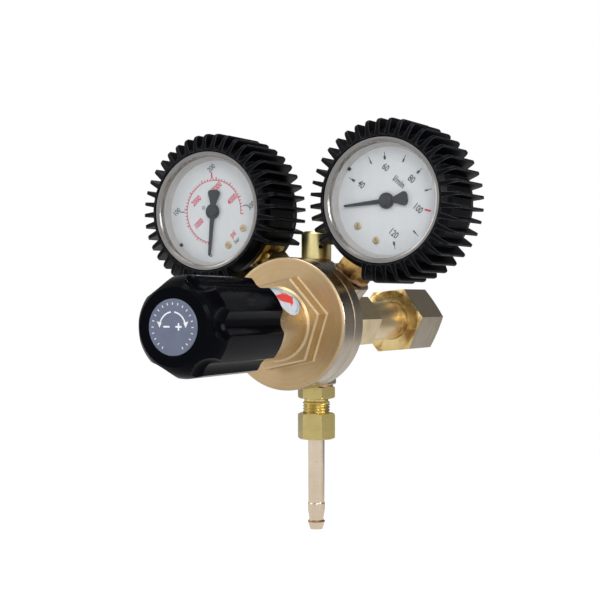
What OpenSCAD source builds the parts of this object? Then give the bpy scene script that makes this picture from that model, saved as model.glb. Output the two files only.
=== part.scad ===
// Flowmeter regulator for a compressed gas cylinder, in millimetres.
// The main axis is Y: the control knob looks along -Y and the inlet nut opens along +Y.
// The origin is the centre of the inlet nut's open end, and +Z is up.
// Stations are distances along the main axis, counted from the front face of the bonnet flange.

/* [Body and bonnet] */
// Outside diameter of the bonnet flange and of the body disc behind it
body_d = 62; // [52:1:76]
// Thickness of the bonnet flange
flange_t = 11; // [9:0.5:14]
// Thickness of the body disc
disc_t = 9.7; // [8:0.1:12]
// Length of the body hub behind the disc
hub_l = 25; // [23:0.5:32]
// Diameter of the body hub
hub_d = 34; // [28:0.5:42]
// Diameter of the bonnet neck, which guides the knob
neck_d = 33; // [28:0.5:36]
// Length of the bonnet neck in front of the flange
neck_l = 52; // [43:1:64]
// Wall of the bonnet neck around the main spring
neck_wall = 3.5; // [2.5:0.1:4.5]
// Width across flats of the spanner hexagon on the bonnet
bonnet_af = 38.5; // [35:0.5:47]
// Length of the spanner hexagon on the bonnet
bonnet_hex_l = 7.5; // [6:0.1:9]

/* [Diaphragm and valve] */
// Width of the rim that clamps the diaphragm
clamp_w = 5.95; // [5:0.05:7.2]
// Thickness of the rubber diaphragm
diaphragm_t = 1.2; // [1:0.1:1.5]
// Thickness of the slip ring between bonnet and diaphragm
slip_t = 0.8; // [0.6:0.1:1]
// Thickness of the plate on the diaphragm
plate_t = 2.4; // [2:0.1:3]
// Diameter of the nozzle and of the valve housing
valve_d = 13.8; // [11.5:0.1:15]
// Lift of the valve when it is wide open
valve_lift = 0.8; // [0.6:0.1:1]
// Wire diameter of the main spring
spring_wire = 2.8; // [2.3:0.1:3.2]
// Turns of the main spring
spring_turns = 8; // [6:0.5:9]

/* [Knob] */
// Diameter over the knob's lobes
knob_d = 42.8; // [41:0.2:52]
// Length of the knob
knob_l = 57.2; // [52:0.2:69]
// How far the knob reaches over the neck when it is screwed right out
knob_cover = 15.2; // [12:0.2:18]
// Number of finger grooves round the knob
groove_count = 6; // [4:1:8]
// Radius of a finger groove
groove_r = 6.6; // [5:0.1:8]
// Depth of a finger groove
groove_depth = 3.1; // [2:0.1:3.4]
// Length of the rounded shoulder between the knob's face and its lobes
shoulder_l = 8.7; // [6:0.1:10]
// Travel of the adjusting screw
screw_travel = 7.5; // [6:0.5:9]
// Diameter of the adjusting screw's thread
screw_d = 12; // [10:0.5:14]
// Diameter of the round label in the knob's face
label_d = 23.2; // [19:0.2:27]

/* [Inlet] */
// From the end of the hub to the open end of the inlet nut
inlet_l = 104; // [87:1:125]
// Width across flats of the inlet nut
nut_af = 32; // [30:1:39]
// Length of the inlet nut
nut_l = 31.5; // [29:0.5:38]
// Bore of the inlet nut's thread
thread_d = 24.12; // [20:0.02:27]
// Length of the inlet nut's thread ahead of the nipple's nose
thread_l = 13.2; // [11:0.1:16]
// Width across flats of the inlet nipple
nipple_af = 24; // [22:0.5:29]
// Length of the hexagon on the inlet nipple
nipple_hex_l = 32.4; // [27:0.2:39]
// Diameter of the nipple's spigot in the hub
spigot_d = 17.9; // [15:0.1:21]
// Diameter of the gas passage through the nipple
passage_d = 6; // [4:0.5:7]

/* [Outlet] */
// Width across flats of the outlet adapter and nut
outlet_af = 16; // [15:0.5:20]
// Diameter of the outlet thread
outlet_thread_d = 13.16; // [11:0.02:13.6]
// Length of the outlet adapter's thread
outlet_thread_l = 13.6; // [11:0.2:17]
// Length of the outlet nut
outlet_nut_l = 12.5; // [10.5:0.5:15]
// Diameter of the hose tail
tail_d = 7.9; // [6.5:0.1:8.2]
// Diameter over the barb of the hose tail
barb_d = 8.4; // [7.9:0.1:8.6]
// Length of the plain part of the hose tail
tail_l = 32.9; // [27:0.1:40]

/* [Relief valve] */
// Diameter of the relief valve
relief_d = 14.4; // [12:0.2:15.6]
// Height of the relief valve above its washer
relief_h = 13.6; // [12:0.2:17]

/* [Gauges] */
// Outside diameter of the gauge cases
gauge_d = 61.2; // [52:0.2:74]
// Depth of a gauge from its front to its back
gauge_depth = 37.5; // [36:0.5:45]
// Lean of each gauge stem from the vertical
gauge_angle = 40; // [36:1:50]
// Gap between the body disc and the boots
gauge_gap = 3.2; // [2:0.1:4.2]
// How much further out the right gauge stands than the left
gauge_stagger = 2.8; // [0:0.2:3]
// Width across flats of the gauge stems
stem_af = 17; // [15:0.5:19]
// Length of the hexagon on a gauge stem
stem_hex_l = 8.1; // [6.5:0.1:8.6]
// Diameter of the gauge stem's thread
stem_d = 13; // [11:0.1:14]
// Wall of the sheet steel case
case_wall = 0.8; // [0.6:0.1:1]
// Reading of the left pointer at zero, clockwise from the top
left_zero = 185; // [180:1:270]
// Reading of the right pointer at zero, clockwise from the top
right_zero = 265; // [180:1:270]

/* [Gauge boots] */
// Wall of the rubber boot under its fins
boot_wall = 1.85; // [1.5:0.05:2.5]
// Height of the fins above the wall
fin_h = 4.9; // [3:0.1:5.8]
// Number of fins round a boot
fin_count = 40; // [32:1:48]
// Width of a fin at its foot
fin_foot = 2.8; // [2.2:0.1:3.3]
// Width of a fin at its tip
fin_tip = 1.5; // [0.8:0.1:1.8]
// Length of a boot
boot_l = 34.4; // [30:0.2:36]

/* [Hidden] */
round_fn = 96;
fit = 0.1;
running = 0.05;
cut = 1;

// Stations of the body and the bonnet
seam = 0.3;
washer_t = 0.8;
body_r = body_d / 2;
neck_r = neck_d / 2;
spring_room_r = neck_r - neck_wall;
rim_wall = 3;
rim_l = 3.5;
rim_r = body_r - rim_wall;
chamber_r = rim_r - running - clamp_w;
rim_s = flange_t - rim_l;
slip_s = rim_s - diaphragm_t - slip_t;
plate_s = rim_s - diaphragm_t - plate_t;
plate_room = 3;
chamber_depth = 5.5;
chamber_s = rim_s + chamber_depth;
disc_s = flange_t + seam;
hub_s = disc_s + disc_t;
hub_end = hub_s + hub_l;
inlet_reach = hub_end + inlet_l;
neck_plug = 8;
bonnet_corner = bonnet_af / 2 / cos(30);
edge = 1.5;

// Ports round the body, at one station behind the disc
port_s = hub_s + 11.4;
boss_reach = body_r - 1.4;
drill_reach = chamber_r - 2;
port_floor = drill_reach - 3;
gauge_boss_r = 10;
outlet_boss_r = 9.5;
relief_boss_r = 8.5;
washer_out = boss_reach + washer_t;

// Valve on the main axis
valve_r = valve_d / 2;
nozzle_end = chamber_s + 5;
nozzle_flange_t = 1.5;
poppet_l = 3.95;
poppet_r = valve_r - 2.3;
poppet_guide_r = min(1.5, poppet_r - 2.3);
housing_end_wall = 1.5;
valve_spring_l = valve_lift + 2.75;
valve_bore_end = nozzle_end + poppet_l + valve_spring_l + housing_end_wall;
spigot_r = spigot_d / 2;
spigot_floor = hub_end - 10;

// Adjusting screw, knob and main spring
screw_r = screw_d / 2;
knob_s = knob_cover - knob_l - neck_l;
knob_rear_s = knob_cover - neck_l;
knob_cavity_s = -neck_l - screw_travel - 4.5;
knob_pocket_s = knob_s + 8;
screw_end_s = knob_s + 10;
screw_tip_s = -neck_l + neck_plug + 4;
screw_key_af = 10;
seat_t = 3;
spring_s = screw_tip_s + seat_t;
spring_r = spring_room_r - 1.7 - spring_wire / 2;
plate_boss_r = spring_r - spring_wire / 2 - 1.5;
label_t = 0.8;
label_proud = 0.5;
shoulder_in = 5;
shoulder_r = 16;
scoop_s = knob_s + 6;
fixing_r = 2;
fixing_head_r = 4;

// Inlet nipple and nut
nut_s = inlet_reach - nut_l;
nut_lip = 4.4;
thread_s = inlet_reach - thread_l;
thread_r = thread_d / 2;
collar_r = thread_r - 0.66;
stem_r = collar_r - 1.4;
collar_s = nut_s + nut_lip + 0.4;
collar_t = 3.7;
nose_s = thread_s - 0.8;
nose_r = thread_r - 3.06;
seal_wire_r = 1;
groove_w = 2.4;
seal_s = nose_s - 2.6 - groove_w / 2;
filter_r = nose_r - 3.5;
filter_wall = 1;
filter_l = 15;
filter_s = nose_s - filter_l - 2;
nut_lift = 5.5;
bonnet_lift = 12;

// Outlet, measured outwards from the main axis
outlet_hex_turn = 47;
outlet_hex_l = 6;
adapter_hex_end = washer_out + outlet_hex_l;
adapter_end = adapter_hex_end + outlet_thread_l;
outlet_thread_r = outlet_thread_d / 2;
port_spigot_l = 9.6;
port_spigot_r = 5.75;
seat_cone_l = 3.5;
outlet_nut_lip = 2.2;
tail_collar_t = 3.5;
tail_seat = adapter_end + fit;
outlet_nut_end = tail_seat + tail_collar_t + fit + outlet_nut_lip;
tail_r = tail_d / 2;
barb_r = barb_d / 2;
tail_end = tail_seat + tail_collar_t + tail_l;

// Relief valve, measured upwards from the main axis
relief_r = relief_d / 2;
relief_top = washer_out + relief_h;
relief_cavity_r = relief_r - 2;
relief_floor = washer_out + 0.9;
relief_plug_t = 3.5;
relief_plug = relief_top - 0.5 - relief_plug_t;
relief_poppet_t = 2.6;

// Gauges: x runs to the right, y runs back from the front face and z runs outwards along the stem
gauge_s = 4;
case_r = gauge_d / 2;
case_in_r = case_r - case_wall;
boot_bore_r = case_r + 0.15;
boot_root_r = boot_bore_r + boot_wall;
boot_tip_r = boot_root_r + fin_h;
stem_t = port_s - gauge_s;
gauge_reach = body_r + gauge_gap + boot_tip_r;
lens_r = case_r - 1.7;
bezel_l = 5;
bezel_skirt = 7.4;
bezel_slope = 2.2;
view_r = case_r - 4.4;
dial_view_r = case_r - 6;
lens_t = 2;
lens_end = 3.8;
dial_t = 7.4;
dial_end = 8.2;
ledge = 1;
pointer_t = 6;
pointer_end = 6.6;
pointer_cap_t = 5.2;
front_plate_t = 10;
rear_plate_t = 17;
plate_w = 1;
arbor_r = 0.8;
sector_shaft_r = 1;

// Sector and pinion: both have teeth of one module, with room to run
tooth_module = 0.4;
pinion_teeth = 10;
sector_teeth = 60;
pinion_pitch_r = tooth_module * pinion_teeth / 2;
sector_pitch_r = tooth_module * sector_teeth / 2;
gear_centre = pinion_pitch_r + sector_pitch_r;
tooth_rise = 0.34;
tooth_drop = 0.62;
tooth_tip_half = 0.13;
tooth_foot_half = 0.36;
sector_t = 13;
sector_end = 14.5;
pinion_t = 12.5;
pinion_end = 16.5;
pointer_sweep = 270;
tail_arm = 4.5;
link_t = 14.8;
link_end = 15.4;
link_pin_r = 0.5;

// Bourdon tube, from the socket block round to its tip
tube_r = case_r - 8.6;
tube_flat = 2.8;
tube_w = 8;
tube_wall = 0.6;
tube_start = 105;
tube_sweep = 280;
tip_angle = tube_start + tube_sweep;
tube_tip = tube_r * [cos(tip_angle), -sin(tip_angle)];
tip_lug_r = 1.6;
block_half = 6.5;
block_t = rear_plate_t + plate_w;
block_end = gauge_depth - 2.5;
block_out = case_in_r - 1.2;
block_in = block_out - 8.6;

// Gauge boots
lip_in_r = case_r - 1.6;
lip_out_r = case_r - 0.9;
lip_t = 0.5;
wall_full = 5.5;
fin_turn = 2.1;
fin_gap = 19;
fin_corner = 4.4;
fin_rear = 2.6;
slot_t = 9.6;
slot_half = stem_af / 2 / cos(30) + 0.95;
boot_end = boot_l - lip_t;

// Left gauge, for cylinder pressure, and right gauge, for flow
LEFT = -1;
RIGHT = 1;

satin_brass = [0.72, 0.60, 0.40];
bright_brass = [0.80, 0.66, 0.33];
olive_brass = [0.70, 0.64, 0.33];
pale_brass = [0.80, 0.70, 0.58];
steel = [0.62, 0.63, 0.64];
black = [0.05, 0.05, 0.06];
off_white = [0.88, 0.88, 0.86];
slate = [0.45, 0.48, 0.56];
copper = [0.72, 0.42, 0.28];

// Place on the main axis of a station
function y(s) = s - inlet_reach;

// Points of an arc about a centre, from one angle to another
function arc(centre, r, from, to, steps = 5) =
  [for (i = [0:steps]) let (a = from + (to - from) * i / steps) centre + r * [cos(a), sin(a)]];

// Points of a shallow arc of one radius from p to q, swelling to the right of the way between them
function bulge(p, q, r, steps = 6) =
  let (half = norm(q - p) / 2, n = [p[1] - q[1], q[0] - p[0]] / norm(q - p),
    c = (p + q) / 2 + n * sqrt(r * r - half * half),
    from = atan2(p[1] - c[1], p[0] - c[0]), to = atan2(q[1] - c[1], q[0] - c[0]))
  arc(c, r, from, to, steps);

// Distance from the main axis to a gauge's centre
function reach_of(side) = gauge_reach + side * gauge_stagger / 2;

// A profile of radius and station, turned about the main axis
module turned(points)
  translate([0, -inlet_reach, 0]) rotate([-90, 0, 0]) rotate_extrude($fn = round_fn) polygon(points);

// A plain round bar or bore on the main axis
module rod(r, from, to)
  translate([0, y(from), 0]) rotate([-90, 0, 0]) cylinder(h = to - from, r = r, $fn = round_fn);

// A plain ring on the main axis
module ring(r_in, r_out, from, to)
  turned([[r_in, from], [r_out, from], [r_out, to], [r_in, to]]);

// A hexagonal bar on the main axis, with one corner lifted above +X
module hex_bar(af, from, to, lift)
  translate([0, y(from), 0]) rotate([0, -lift, 0]) rotate([-90, 0, 0])
    cylinder(h = to - from, r = af / 2 / cos(30), $fn = 6);

// The round form that bevels the corners of a hexagonal bar of this length
module bevel_form(af, length, front = 1, rear = 1) {
  face_r = af / 2 * 0.985;
  corner_r = af / 2 / cos(30) + fit;
  rise = (corner_r - face_r) * 0.5;
  rotate_extrude($fn = round_fn) polygon([
    [0, 0], [front ? face_r : corner_r, 0], [corner_r, front ? rise : 0],
    [corner_r, rear ? length - rise : length], [rear ? face_r : corner_r, length], [0, length]
  ]);
}

// A hexagonal solid: rings of six corners, each with its radius and height
module hex_stack(rows) {
  last = len(rows) - 1;
  polyhedron(
    [for (row = rows, k = [0:5]) [row[0] * cos(60 * k), row[0] * sin(60 * k), row[1]]],
    concat(
      [[for (k = [0:5]) k], [for (k = [5:-1:0]) 6 * last + k]],
      [for (i = [0:last - 1], k = [0:5]) let (low = 6 * i, high = low + 6, k2 = (k + 1) % 6)
        [low + k, high + k, high + k2, low + k2]]
    )
  );
}

// Parts on a port: z runs outwards from the main axis, at an angle from the top towards +X
module on_port(angle)
  translate([0, y(port_s), 0]) rotate([0, angle, 0]) children();

// A profile of radius and height about the z axis
module upright(points)
  rotate_extrude($fn = round_fn) polygon(points);

// A bevelled hexagon on a port
module port_hex(af, from, to, turn, front = 1, rear = 1)
  translate([0, 0, from]) intersection() {
    rotate([0, 0, turn]) cylinder(h = to - from, r = af / 2 / cos(30), $fn = 6);
    bevel_form(af, to - from, front, rear);
  }

// Points on the path of a coil spring with closed ends
function coil_z(turn, turns, length, wire) =
  let (pitch = wire * 1.08, run = length - wire - 2 * pitch)
  wire / 2 + (turn < 1 ? pitch * turn
    : turn > turns - 1 ? length - wire - pitch * (turns - turn)
    : pitch + run * (turn - 1) / (turns - 2));

// A coil spring that stands on z = 0
module coil(r, wire, turns, length, sides = 8, per_turn = 24) {
  rings = round(turns * per_turn);
  points = [for (i = [0:rings], k = [0:sides - 1])
    let (turn = i / per_turn, a = 360 * turn, b = 360 * k / sides,
      out = r + wire / 2 * cos(b), z = coil_z(turn, turns, length, wire) + wire / 2 * sin(b))
    [out * cos(a), out * sin(a), z]];
  sides_of_tube = [for (i = [0:rings - 1], k = [0:sides - 1])
    let (k2 = (k + 1) % sides)
    [i * sides + k, i * sides + k2, (i + 1) * sides + k2, (i + 1) * sides + k]];
  start = [for (k = [0:sides - 1]) sides - 1 - k];
  finish = [for (k = [0:sides - 1]) rings * sides + k];
  faces = concat([start], sides_of_tube, [finish]);
  polyhedron(points, [for (face = faces) [for (i = [len(face) - 1:-1:0]) face[i]]]);
}

// Bonnet: a turned brass cup with a neck for the knob, a spanner hexagon and a flange
module bonnet() color(satin_brass) difference() {
  union() {
    turned(concat(
      [[0, -neck_l], [neck_r - 0.8, -neck_l], [neck_r, 0.8 - neck_l], [neck_r, -bonnet_hex_l - 1.4],
       [neck_r + 0.9, -bonnet_hex_l - 0.5], [neck_r + 0.9, 0]],
      arc([body_r - edge, edge], edge, -90, 0),
      [[body_r, flange_t - 0.3], [body_r - 0.3, flange_t], [0, flange_t]]
    ));
    translate([0, y(-bonnet_hex_l), 0]) rotate([-90, 0, 0]) rotate([0, 0, -bonnet_lift]) hex_stack([
      [bonnet_corner - 0.9, 0], [bonnet_corner, 0.8], [bonnet_corner + 0.3, bonnet_hex_l - 0.8],
      [bonnet_corner + 1.1, bonnet_hex_l], [bonnet_corner + 1.1, bonnet_hex_l + edge]
    ]);
  }
  rod(screw_r + running, -neck_l - cut, neck_plug - neck_l + cut);
  rod(spring_room_r, neck_plug - neck_l, slip_s);
  rod(chamber_r, slip_s - plate_room, slip_s + cut);
  rod(rim_r, slip_s, flange_t + cut);
  translate([0, y(-14), -neck_r - cut]) cylinder(h = neck_wall + 2 * cut, r = 1.5, $fn = round_fn);
}

// Slip ring: lets the bonnet turn home without twisting the diaphragm
module slip_ring() color(steel) ring(chamber_r + 0.3, rim_r - fit, slip_s, slip_s + slip_t);

// Diaphragm: a flat rubber disc clamped between the slip ring and the body's rim
module diaphragm() color(black) rod(rim_r - fit, rim_s - diaphragm_t, rim_s);

// Diaphragm plate: carries the spring load on to the diaphragm
module diaphragm_plate() color(satin_brass) turned([
  [0, plate_s - 3.4], [plate_boss_r - 0.8, plate_s - 3.4], [plate_boss_r, plate_s - 2.6],
  [plate_boss_r, plate_s],
  [chamber_r - 2, plate_s], [chamber_r - 1.5, plate_s + 0.5],
  [chamber_r - 1.5, plate_s + plate_t], [0, plate_s + plate_t]
]);

// One boss of the body, with the web that ties it to the disc
module boss(angle, r) {
  web = port_s - hub_s + edge;
  on_port(angle) {
    upright([[0, 0], [r, 0], [r, boss_reach - 0.6], [r - 0.6, boss_reach], [0, boss_reach]]);
    translate([-r, -web, 0]) cube([2 * r, web, boss_reach - 0.6]);
  }
}

// A threaded port, and the drilling that feeds it from the diaphragm chamber
module low_pressure_port(angle, r) on_port(angle) {
  translate([0, 0, port_floor]) cylinder(h = boss_reach, r = r, $fn = round_fn);
  translate([0, chamber_s - port_s - cut, drill_reach]) rotate([-90, 0, 0])
    cylinder(h = port_s - chamber_s + cut, r = 1.5, $fn = round_fn);
}

// Body: a brass forging with the diaphragm chamber, the valve bore and four ports
module body() color(satin_brass) difference() {
  union() {
    turned(concat(
      [[0, rim_s], [rim_r - running, rim_s], [rim_r - running, disc_s],
       [body_r - 0.3, disc_s], [body_r, disc_s + 0.3]],
      arc([body_r - 2, hub_s - 2], 2, 0, 90),
      [[hub_d / 2 + 3, hub_s], [hub_d / 2, hub_s + 4], [hub_d / 2, hub_end - 1],
       [hub_d / 2 - 1, hub_end], [0, hub_end]]
    ));
    boss(180, outlet_boss_r);
    boss(0, relief_boss_r);
    boss(gauge_angle, gauge_boss_r);
    boss(-gauge_angle, gauge_boss_r);
  }
  rod(chamber_r, rim_s - cut, chamber_s);
  rod(valve_r + fit, chamber_s - cut, valve_bore_end);
  rod(4, valve_bore_end - cut, spigot_floor + cut);
  rod(spigot_r + running, spigot_floor, hub_end + cut);
  low_pressure_port(180, port_spigot_r + running);
  low_pressure_port(0, relief_r - 2.25 + running);
  low_pressure_port(gauge_angle, stem_d / 2 + running);
  on_port(-gauge_angle) {
    translate([0, 0, port_floor]) cylinder(h = boss_reach, r = stem_d / 2 + running, $fn = round_fn);
    cylinder(h = port_floor + cut, r = 1.2, $fn = round_fn);
  }
}

// Nozzle: the seat of the reducing valve, with the hole that the pin passes through
module nozzle() color(bright_brass) difference() {
  union() {
    rod(valve_r + 2, chamber_s - nozzle_flange_t, chamber_s);
    rod(valve_r, chamber_s - cut, nozzle_end);
  }
  rod(1.2, chamber_s - nozzle_flange_t - cut, nozzle_end + cut);
}

// Valve pin: carries the diaphragm's motion to the poppet
module valve_pin() color(steel) rod(0.8, rim_s + running, nozzle_end + running);

// Poppet: closes against the nozzle from the high pressure side
module poppet() color(bright_brass) turned([
  [0, nozzle_end + running], [2.2, nozzle_end + running], [poppet_r, nozzle_end + 0.9],
  [poppet_r, nozzle_end + poppet_l], [poppet_guide_r, nozzle_end + poppet_l],
  [poppet_guide_r, nozzle_end + poppet_l + 1.2], [0, nozzle_end + poppet_l + 1.2]
]);

// Valve housing: a brass cup that guides the poppet and holds its spring
module valve_housing() color(bright_brass) difference() {
  rod(valve_r, nozzle_end + 0.5, valve_bore_end);
  rod(poppet_r + 0.4, nozzle_end - cut, valve_bore_end - housing_end_wall);
  rod(1.5, nozzle_end, valve_bore_end + cut);
}

// Valve spring: closes the poppet
module valve_spring() color(steel)
  translate([0, y(nozzle_end + poppet_l), 0]) rotate([-90, 0, 0])
    coil(poppet_r - 1.7, 0.7, 4, valve_spring_l, 6, 16);

// Main spring: loads the diaphragm from the adjusting screw
module main_spring() color(steel)
  translate([0, y(spring_s), 0]) rotate([-90, 0, 0])
    coil(spring_r, spring_wire, spring_turns, plate_s - spring_s);

// Spring seat: a turned cap that the screw's tip pushes on
module spring_seat() color(steel) turned([
  [0, screw_tip_s], [spring_room_r - 1.4, screw_tip_s], [spring_room_r - 0.6, screw_tip_s + 0.8],
  [spring_room_r - 0.6, spring_s], [spring_r - spring_wire / 2 - 0.6, spring_s],
  [spring_r - spring_wire / 2 - 1.6, spring_s + 2], [0, spring_s + 2]
]);

// Adjusting screw: threaded through the neck, with a hexagon that keys into the knob
module adjusting_screw() color(steel) difference() {
  union() {
    turned([[0, knob_cavity_s + 2], [screw_r, knob_cavity_s + 2], [screw_r, screw_tip_s - 1.8],
            [screw_r - 1.4, screw_tip_s - fit], [0, screw_tip_s - fit]]);
    hex_bar(screw_key_af, screw_end_s, knob_cavity_s + 2 + cut, 0);
  }
  rod(fixing_r + running, screw_end_s - cut, screw_end_s + 8);
}

// Knob: a moulded cap with finger grooves, hollow over the neck and open round its hub
module knob() color(black) difference() {
  turned(concat(
    [[0, knob_s + label_t], [label_d / 2 + 0.2, knob_s + label_t],
     [label_d / 2 + 0.2, knob_s + label_proud + 0.2], [label_d / 2 + 0.6, knob_s + label_proud]],
    bulge([knob_d / 2 - shoulder_in, knob_s + label_proud],
          [knob_d / 2, knob_s + label_proud + shoulder_l], shoulder_r),
    [[knob_d / 2 - 0.4, knob_rear_s - 1], [knob_d / 2 - 1.4, knob_rear_s], [0, knob_rear_s]]
  ));
  for (i = [0:groove_count - 1]) rotate([0, -4 - i * 360 / groove_count, 0]) {
    translate([knob_d / 2 - groove_depth + groove_r, y(knob_s) - cut, 0]) rotate([-90, 0, 0])
      cylinder(h = knob_l + 2 * cut, r = groove_r, $fn = round_fn);
    translate([knob_d / 2 + 4.1, y(scoop_s), 0]) sphere(r = groove_r + 2.4, $fn = round_fn);
  }
  rod(neck_r + 0.3, knob_cavity_s, knob_rear_s + cut);
  ring(9, neck_r - 1, knob_pocket_s, knob_cavity_s + cut);
  hex_bar(screw_key_af + fit, screw_end_s, knob_cavity_s + cut, 0);
  rod(fixing_r + 0.2, knob_s, screw_end_s + cut);
  rod(fixing_head_r + 0.3, knob_s, knob_s + 4);
}

// Knob label: a printed disc that covers the fixing screw
module knob_label() color(slate) turned([
  [0, knob_s], [label_d / 2 - 0.3, knob_s], [label_d / 2, knob_s + 0.3],
  [label_d / 2, knob_s + label_t], [0, knob_s + label_t]
]);

// Knob screw: a pan head screw that clamps the knob to the adjusting screw
module knob_screw() color(steel) difference() {
  turned([[0, knob_s + 1.8], [fixing_head_r - 1, knob_s + 1.8], [fixing_head_r, knob_s + 2.8],
          [fixing_head_r, knob_s + 4], [fixing_r, knob_s + 4], [fixing_r, knob_s + 16], [0, knob_s + 16]]);
  translate([-fixing_head_r, y(knob_s), -0.5]) cube([2 * fixing_head_r, 2.9, 1]);
}

// Inlet nipple: a spigot in the hub, a hexagon, a plain stem, and the collar and nose for the nut
module inlet_nipple() color(bright_brass) difference() {
  union() {
    rod(spigot_r, spigot_floor + 1, hub_end + 1 + cut);
    translate([0, y(hub_end + 1), 0]) rotate([-90, 0, 0]) intersection() {
      rotate([0, 0, -nut_lift]) cylinder(h = nipple_hex_l, r = nipple_af / 2 / cos(30), $fn = 6);
      bevel_form(nipple_af, nipple_hex_l);
    }
    turned([
      [0, hub_end + nipple_hex_l], [stem_r, hub_end + nipple_hex_l], [stem_r, collar_s],
      [collar_r - 0.5, collar_s], [collar_r, collar_s + 0.5], [collar_r, collar_s + collar_t],
      [nose_r, collar_s + collar_t], [nose_r, seal_s - groove_w / 2],
      [nose_r - 1.6, seal_s - groove_w / 2], [nose_r - 1.6, seal_s + groove_w / 2],
      [nose_r, seal_s + groove_w / 2], [nose_r, nose_s - 0.8], [nose_r - 0.8, nose_s], [0, nose_s]
    ]);
  }
  rod(passage_d / 2, spigot_floor, nose_s + cut);
  rod(filter_r + fit, filter_s, nose_s + cut);
}

// Nipple washer: a copper ring between the hub and the nipple's hexagon
module nipple_washer() color(copper) ring(spigot_r + fit, nipple_af / 2, hub_end, hub_end + 1);

// Filter: a cup of sintered bronze in the nipple's nose
module filter() color(copper) difference() {
  rod(filter_r, filter_s, filter_s + filter_l);
  rod(filter_r - filter_wall, filter_s - cut, filter_s + filter_l - filter_wall);
}

// Inlet seal: an O-ring in the nose's groove
module inlet_seal() color(black)
  translate([0, y(seal_s), 0]) rotate([-90, 0, 0]) rotate_extrude($fn = round_fn)
    translate([nose_r - 0.58, 0]) circle(r = seal_wire_r, $fn = 24);

// Inlet nut: turns freely on the stem and pulls the nose home
module inlet_nut() color(bright_brass) difference() {
  translate([0, y(nut_s), 0]) rotate([-90, 0, 0]) intersection() {
    rotate([0, 0, -nut_lift]) cylinder(h = nut_l, r = nut_af / 2 / cos(30), $fn = 6);
    bevel_form(nut_af, nut_l);
  }
  rod(stem_r + 0.2, nut_s - cut, nut_s + nut_lip + cut);
  rod(thread_r + 0.64, nut_s + nut_lip, thread_s);
  rod(thread_r, thread_s - cut, inlet_reach + cut);
}

// Outlet washer: seals the adapter on its boss
module outlet_washer() color(copper) on_port(180)
  upright([[port_spigot_r + fit, boss_reach], [outlet_af / 2, boss_reach],
           [outlet_af / 2, washer_out], [port_spigot_r + fit, washer_out]]);

// Outlet adapter: screws into the body and carries the outlet nut
module outlet_adapter() color(olive_brass) on_port(180) difference() {
  union() {
    upright([[0, washer_out - port_spigot_l], [port_spigot_r - 0.5, washer_out - port_spigot_l],
             [port_spigot_r, washer_out - port_spigot_l + 0.5], [port_spigot_r, washer_out + cut],
             [0, washer_out + cut]]);
    port_hex(outlet_af, washer_out, adapter_hex_end, outlet_hex_turn);
    upright([[0, adapter_hex_end - cut], [outlet_thread_r - 0.8, adapter_hex_end - cut],
             [outlet_thread_r - 0.8, adapter_hex_end + 1.2], [outlet_thread_r, adapter_hex_end + 2],
             [outlet_thread_r, adapter_end - 0.8], [outlet_thread_r - 0.8, adapter_end], [0, adapter_end]]);
  }
  upright([[0, 0], [3, 0], [3, adapter_end - seat_cone_l], [5.2, adapter_end],
           [5.2, adapter_end + cut], [0, adapter_end + cut]]);
}

// Orifice: the calibrated jet that makes the pressure gauge read as flow
module orifice() color(bright_brass) on_port(180)
  upright([[0.5, washer_out + 1.6], [3 - running, washer_out + 1.6],
           [3 - running, washer_out + 5.6], [1.5, washer_out + 5.6], [0.5, washer_out + 4.6]]);

// Outlet nut: clamps the hose tail's collar to the adapter
module outlet_nut() color(olive_brass) on_port(180) difference() {
  port_hex(outlet_af, outlet_nut_end - outlet_nut_l, outlet_nut_end, outlet_hex_turn);
  translate([0, 0, outlet_nut_end - outlet_nut_l - cut])
    cylinder(h = outlet_nut_l + cut - outlet_nut_lip, r = outlet_thread_r + running, $fn = round_fn);
  cylinder(h = outlet_nut_end + cut, r = tail_r + 0.45, $fn = round_fn);
}

// Hose barb: a turned tail with a cone nose, a collar, one barb and a rounded tip
module hose_barb() color(pale_brass) on_port(180) difference() {
  upright([
    [0, tail_seat - 2.9], [3.3, tail_seat - 2.9], [4.9, tail_seat], [5.6, tail_seat],
    [5.6, tail_seat + tail_collar_t], [tail_r, tail_seat + tail_collar_t], [tail_r, tail_end],
    [barb_r, tail_end + 0.5], [barb_r, tail_end + 3.5], [tail_r - 0.45, tail_end + 7.5],
    [tail_r - 0.45, tail_end + 8.3], [barb_r, tail_end + 8.9], [barb_r, tail_end + 9.3],
    [3.04, tail_end + 12.9], [0, tail_end + 12.9]
  ]);
  cylinder(h = tail_end + 20, r = 2.4, $fn = round_fn);
}

// Relief washer: seals the relief valve on its boss
module relief_washer() color(copper) on_port(0)
  upright([[relief_r - 2.2 + fit, boss_reach], [relief_r, boss_reach],
           [relief_r, washer_out], [relief_r - 2.2 + fit, washer_out]]);

// Relief body: a round brass cup with vent holes round its side
module relief_body() color(bright_brass) on_port(0) difference() {
  upright([
    [0, washer_out - port_spigot_l], [relief_r - 2.25, washer_out - port_spigot_l],
    [relief_r - 2.25, washer_out], [relief_r - 0.4, washer_out], [relief_r, washer_out + 0.4],
    [relief_r, relief_top - 1.2], [relief_r - 1.2, relief_top], [0, relief_top]
  ]);
  cylinder(h = relief_top, r = 1.5, $fn = round_fn);
  translate([0, 0, relief_floor]) cylinder(h = relief_h, r = relief_cavity_r, $fn = round_fn);
  for (turn = [-45:90:225]) rotate([0, 0, turn]) translate([0, 0, washer_out + 6.1]) rotate([0, 90, 0])
    cylinder(h = relief_r + cut, r = 1.2, $fn = round_fn);
}

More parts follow.
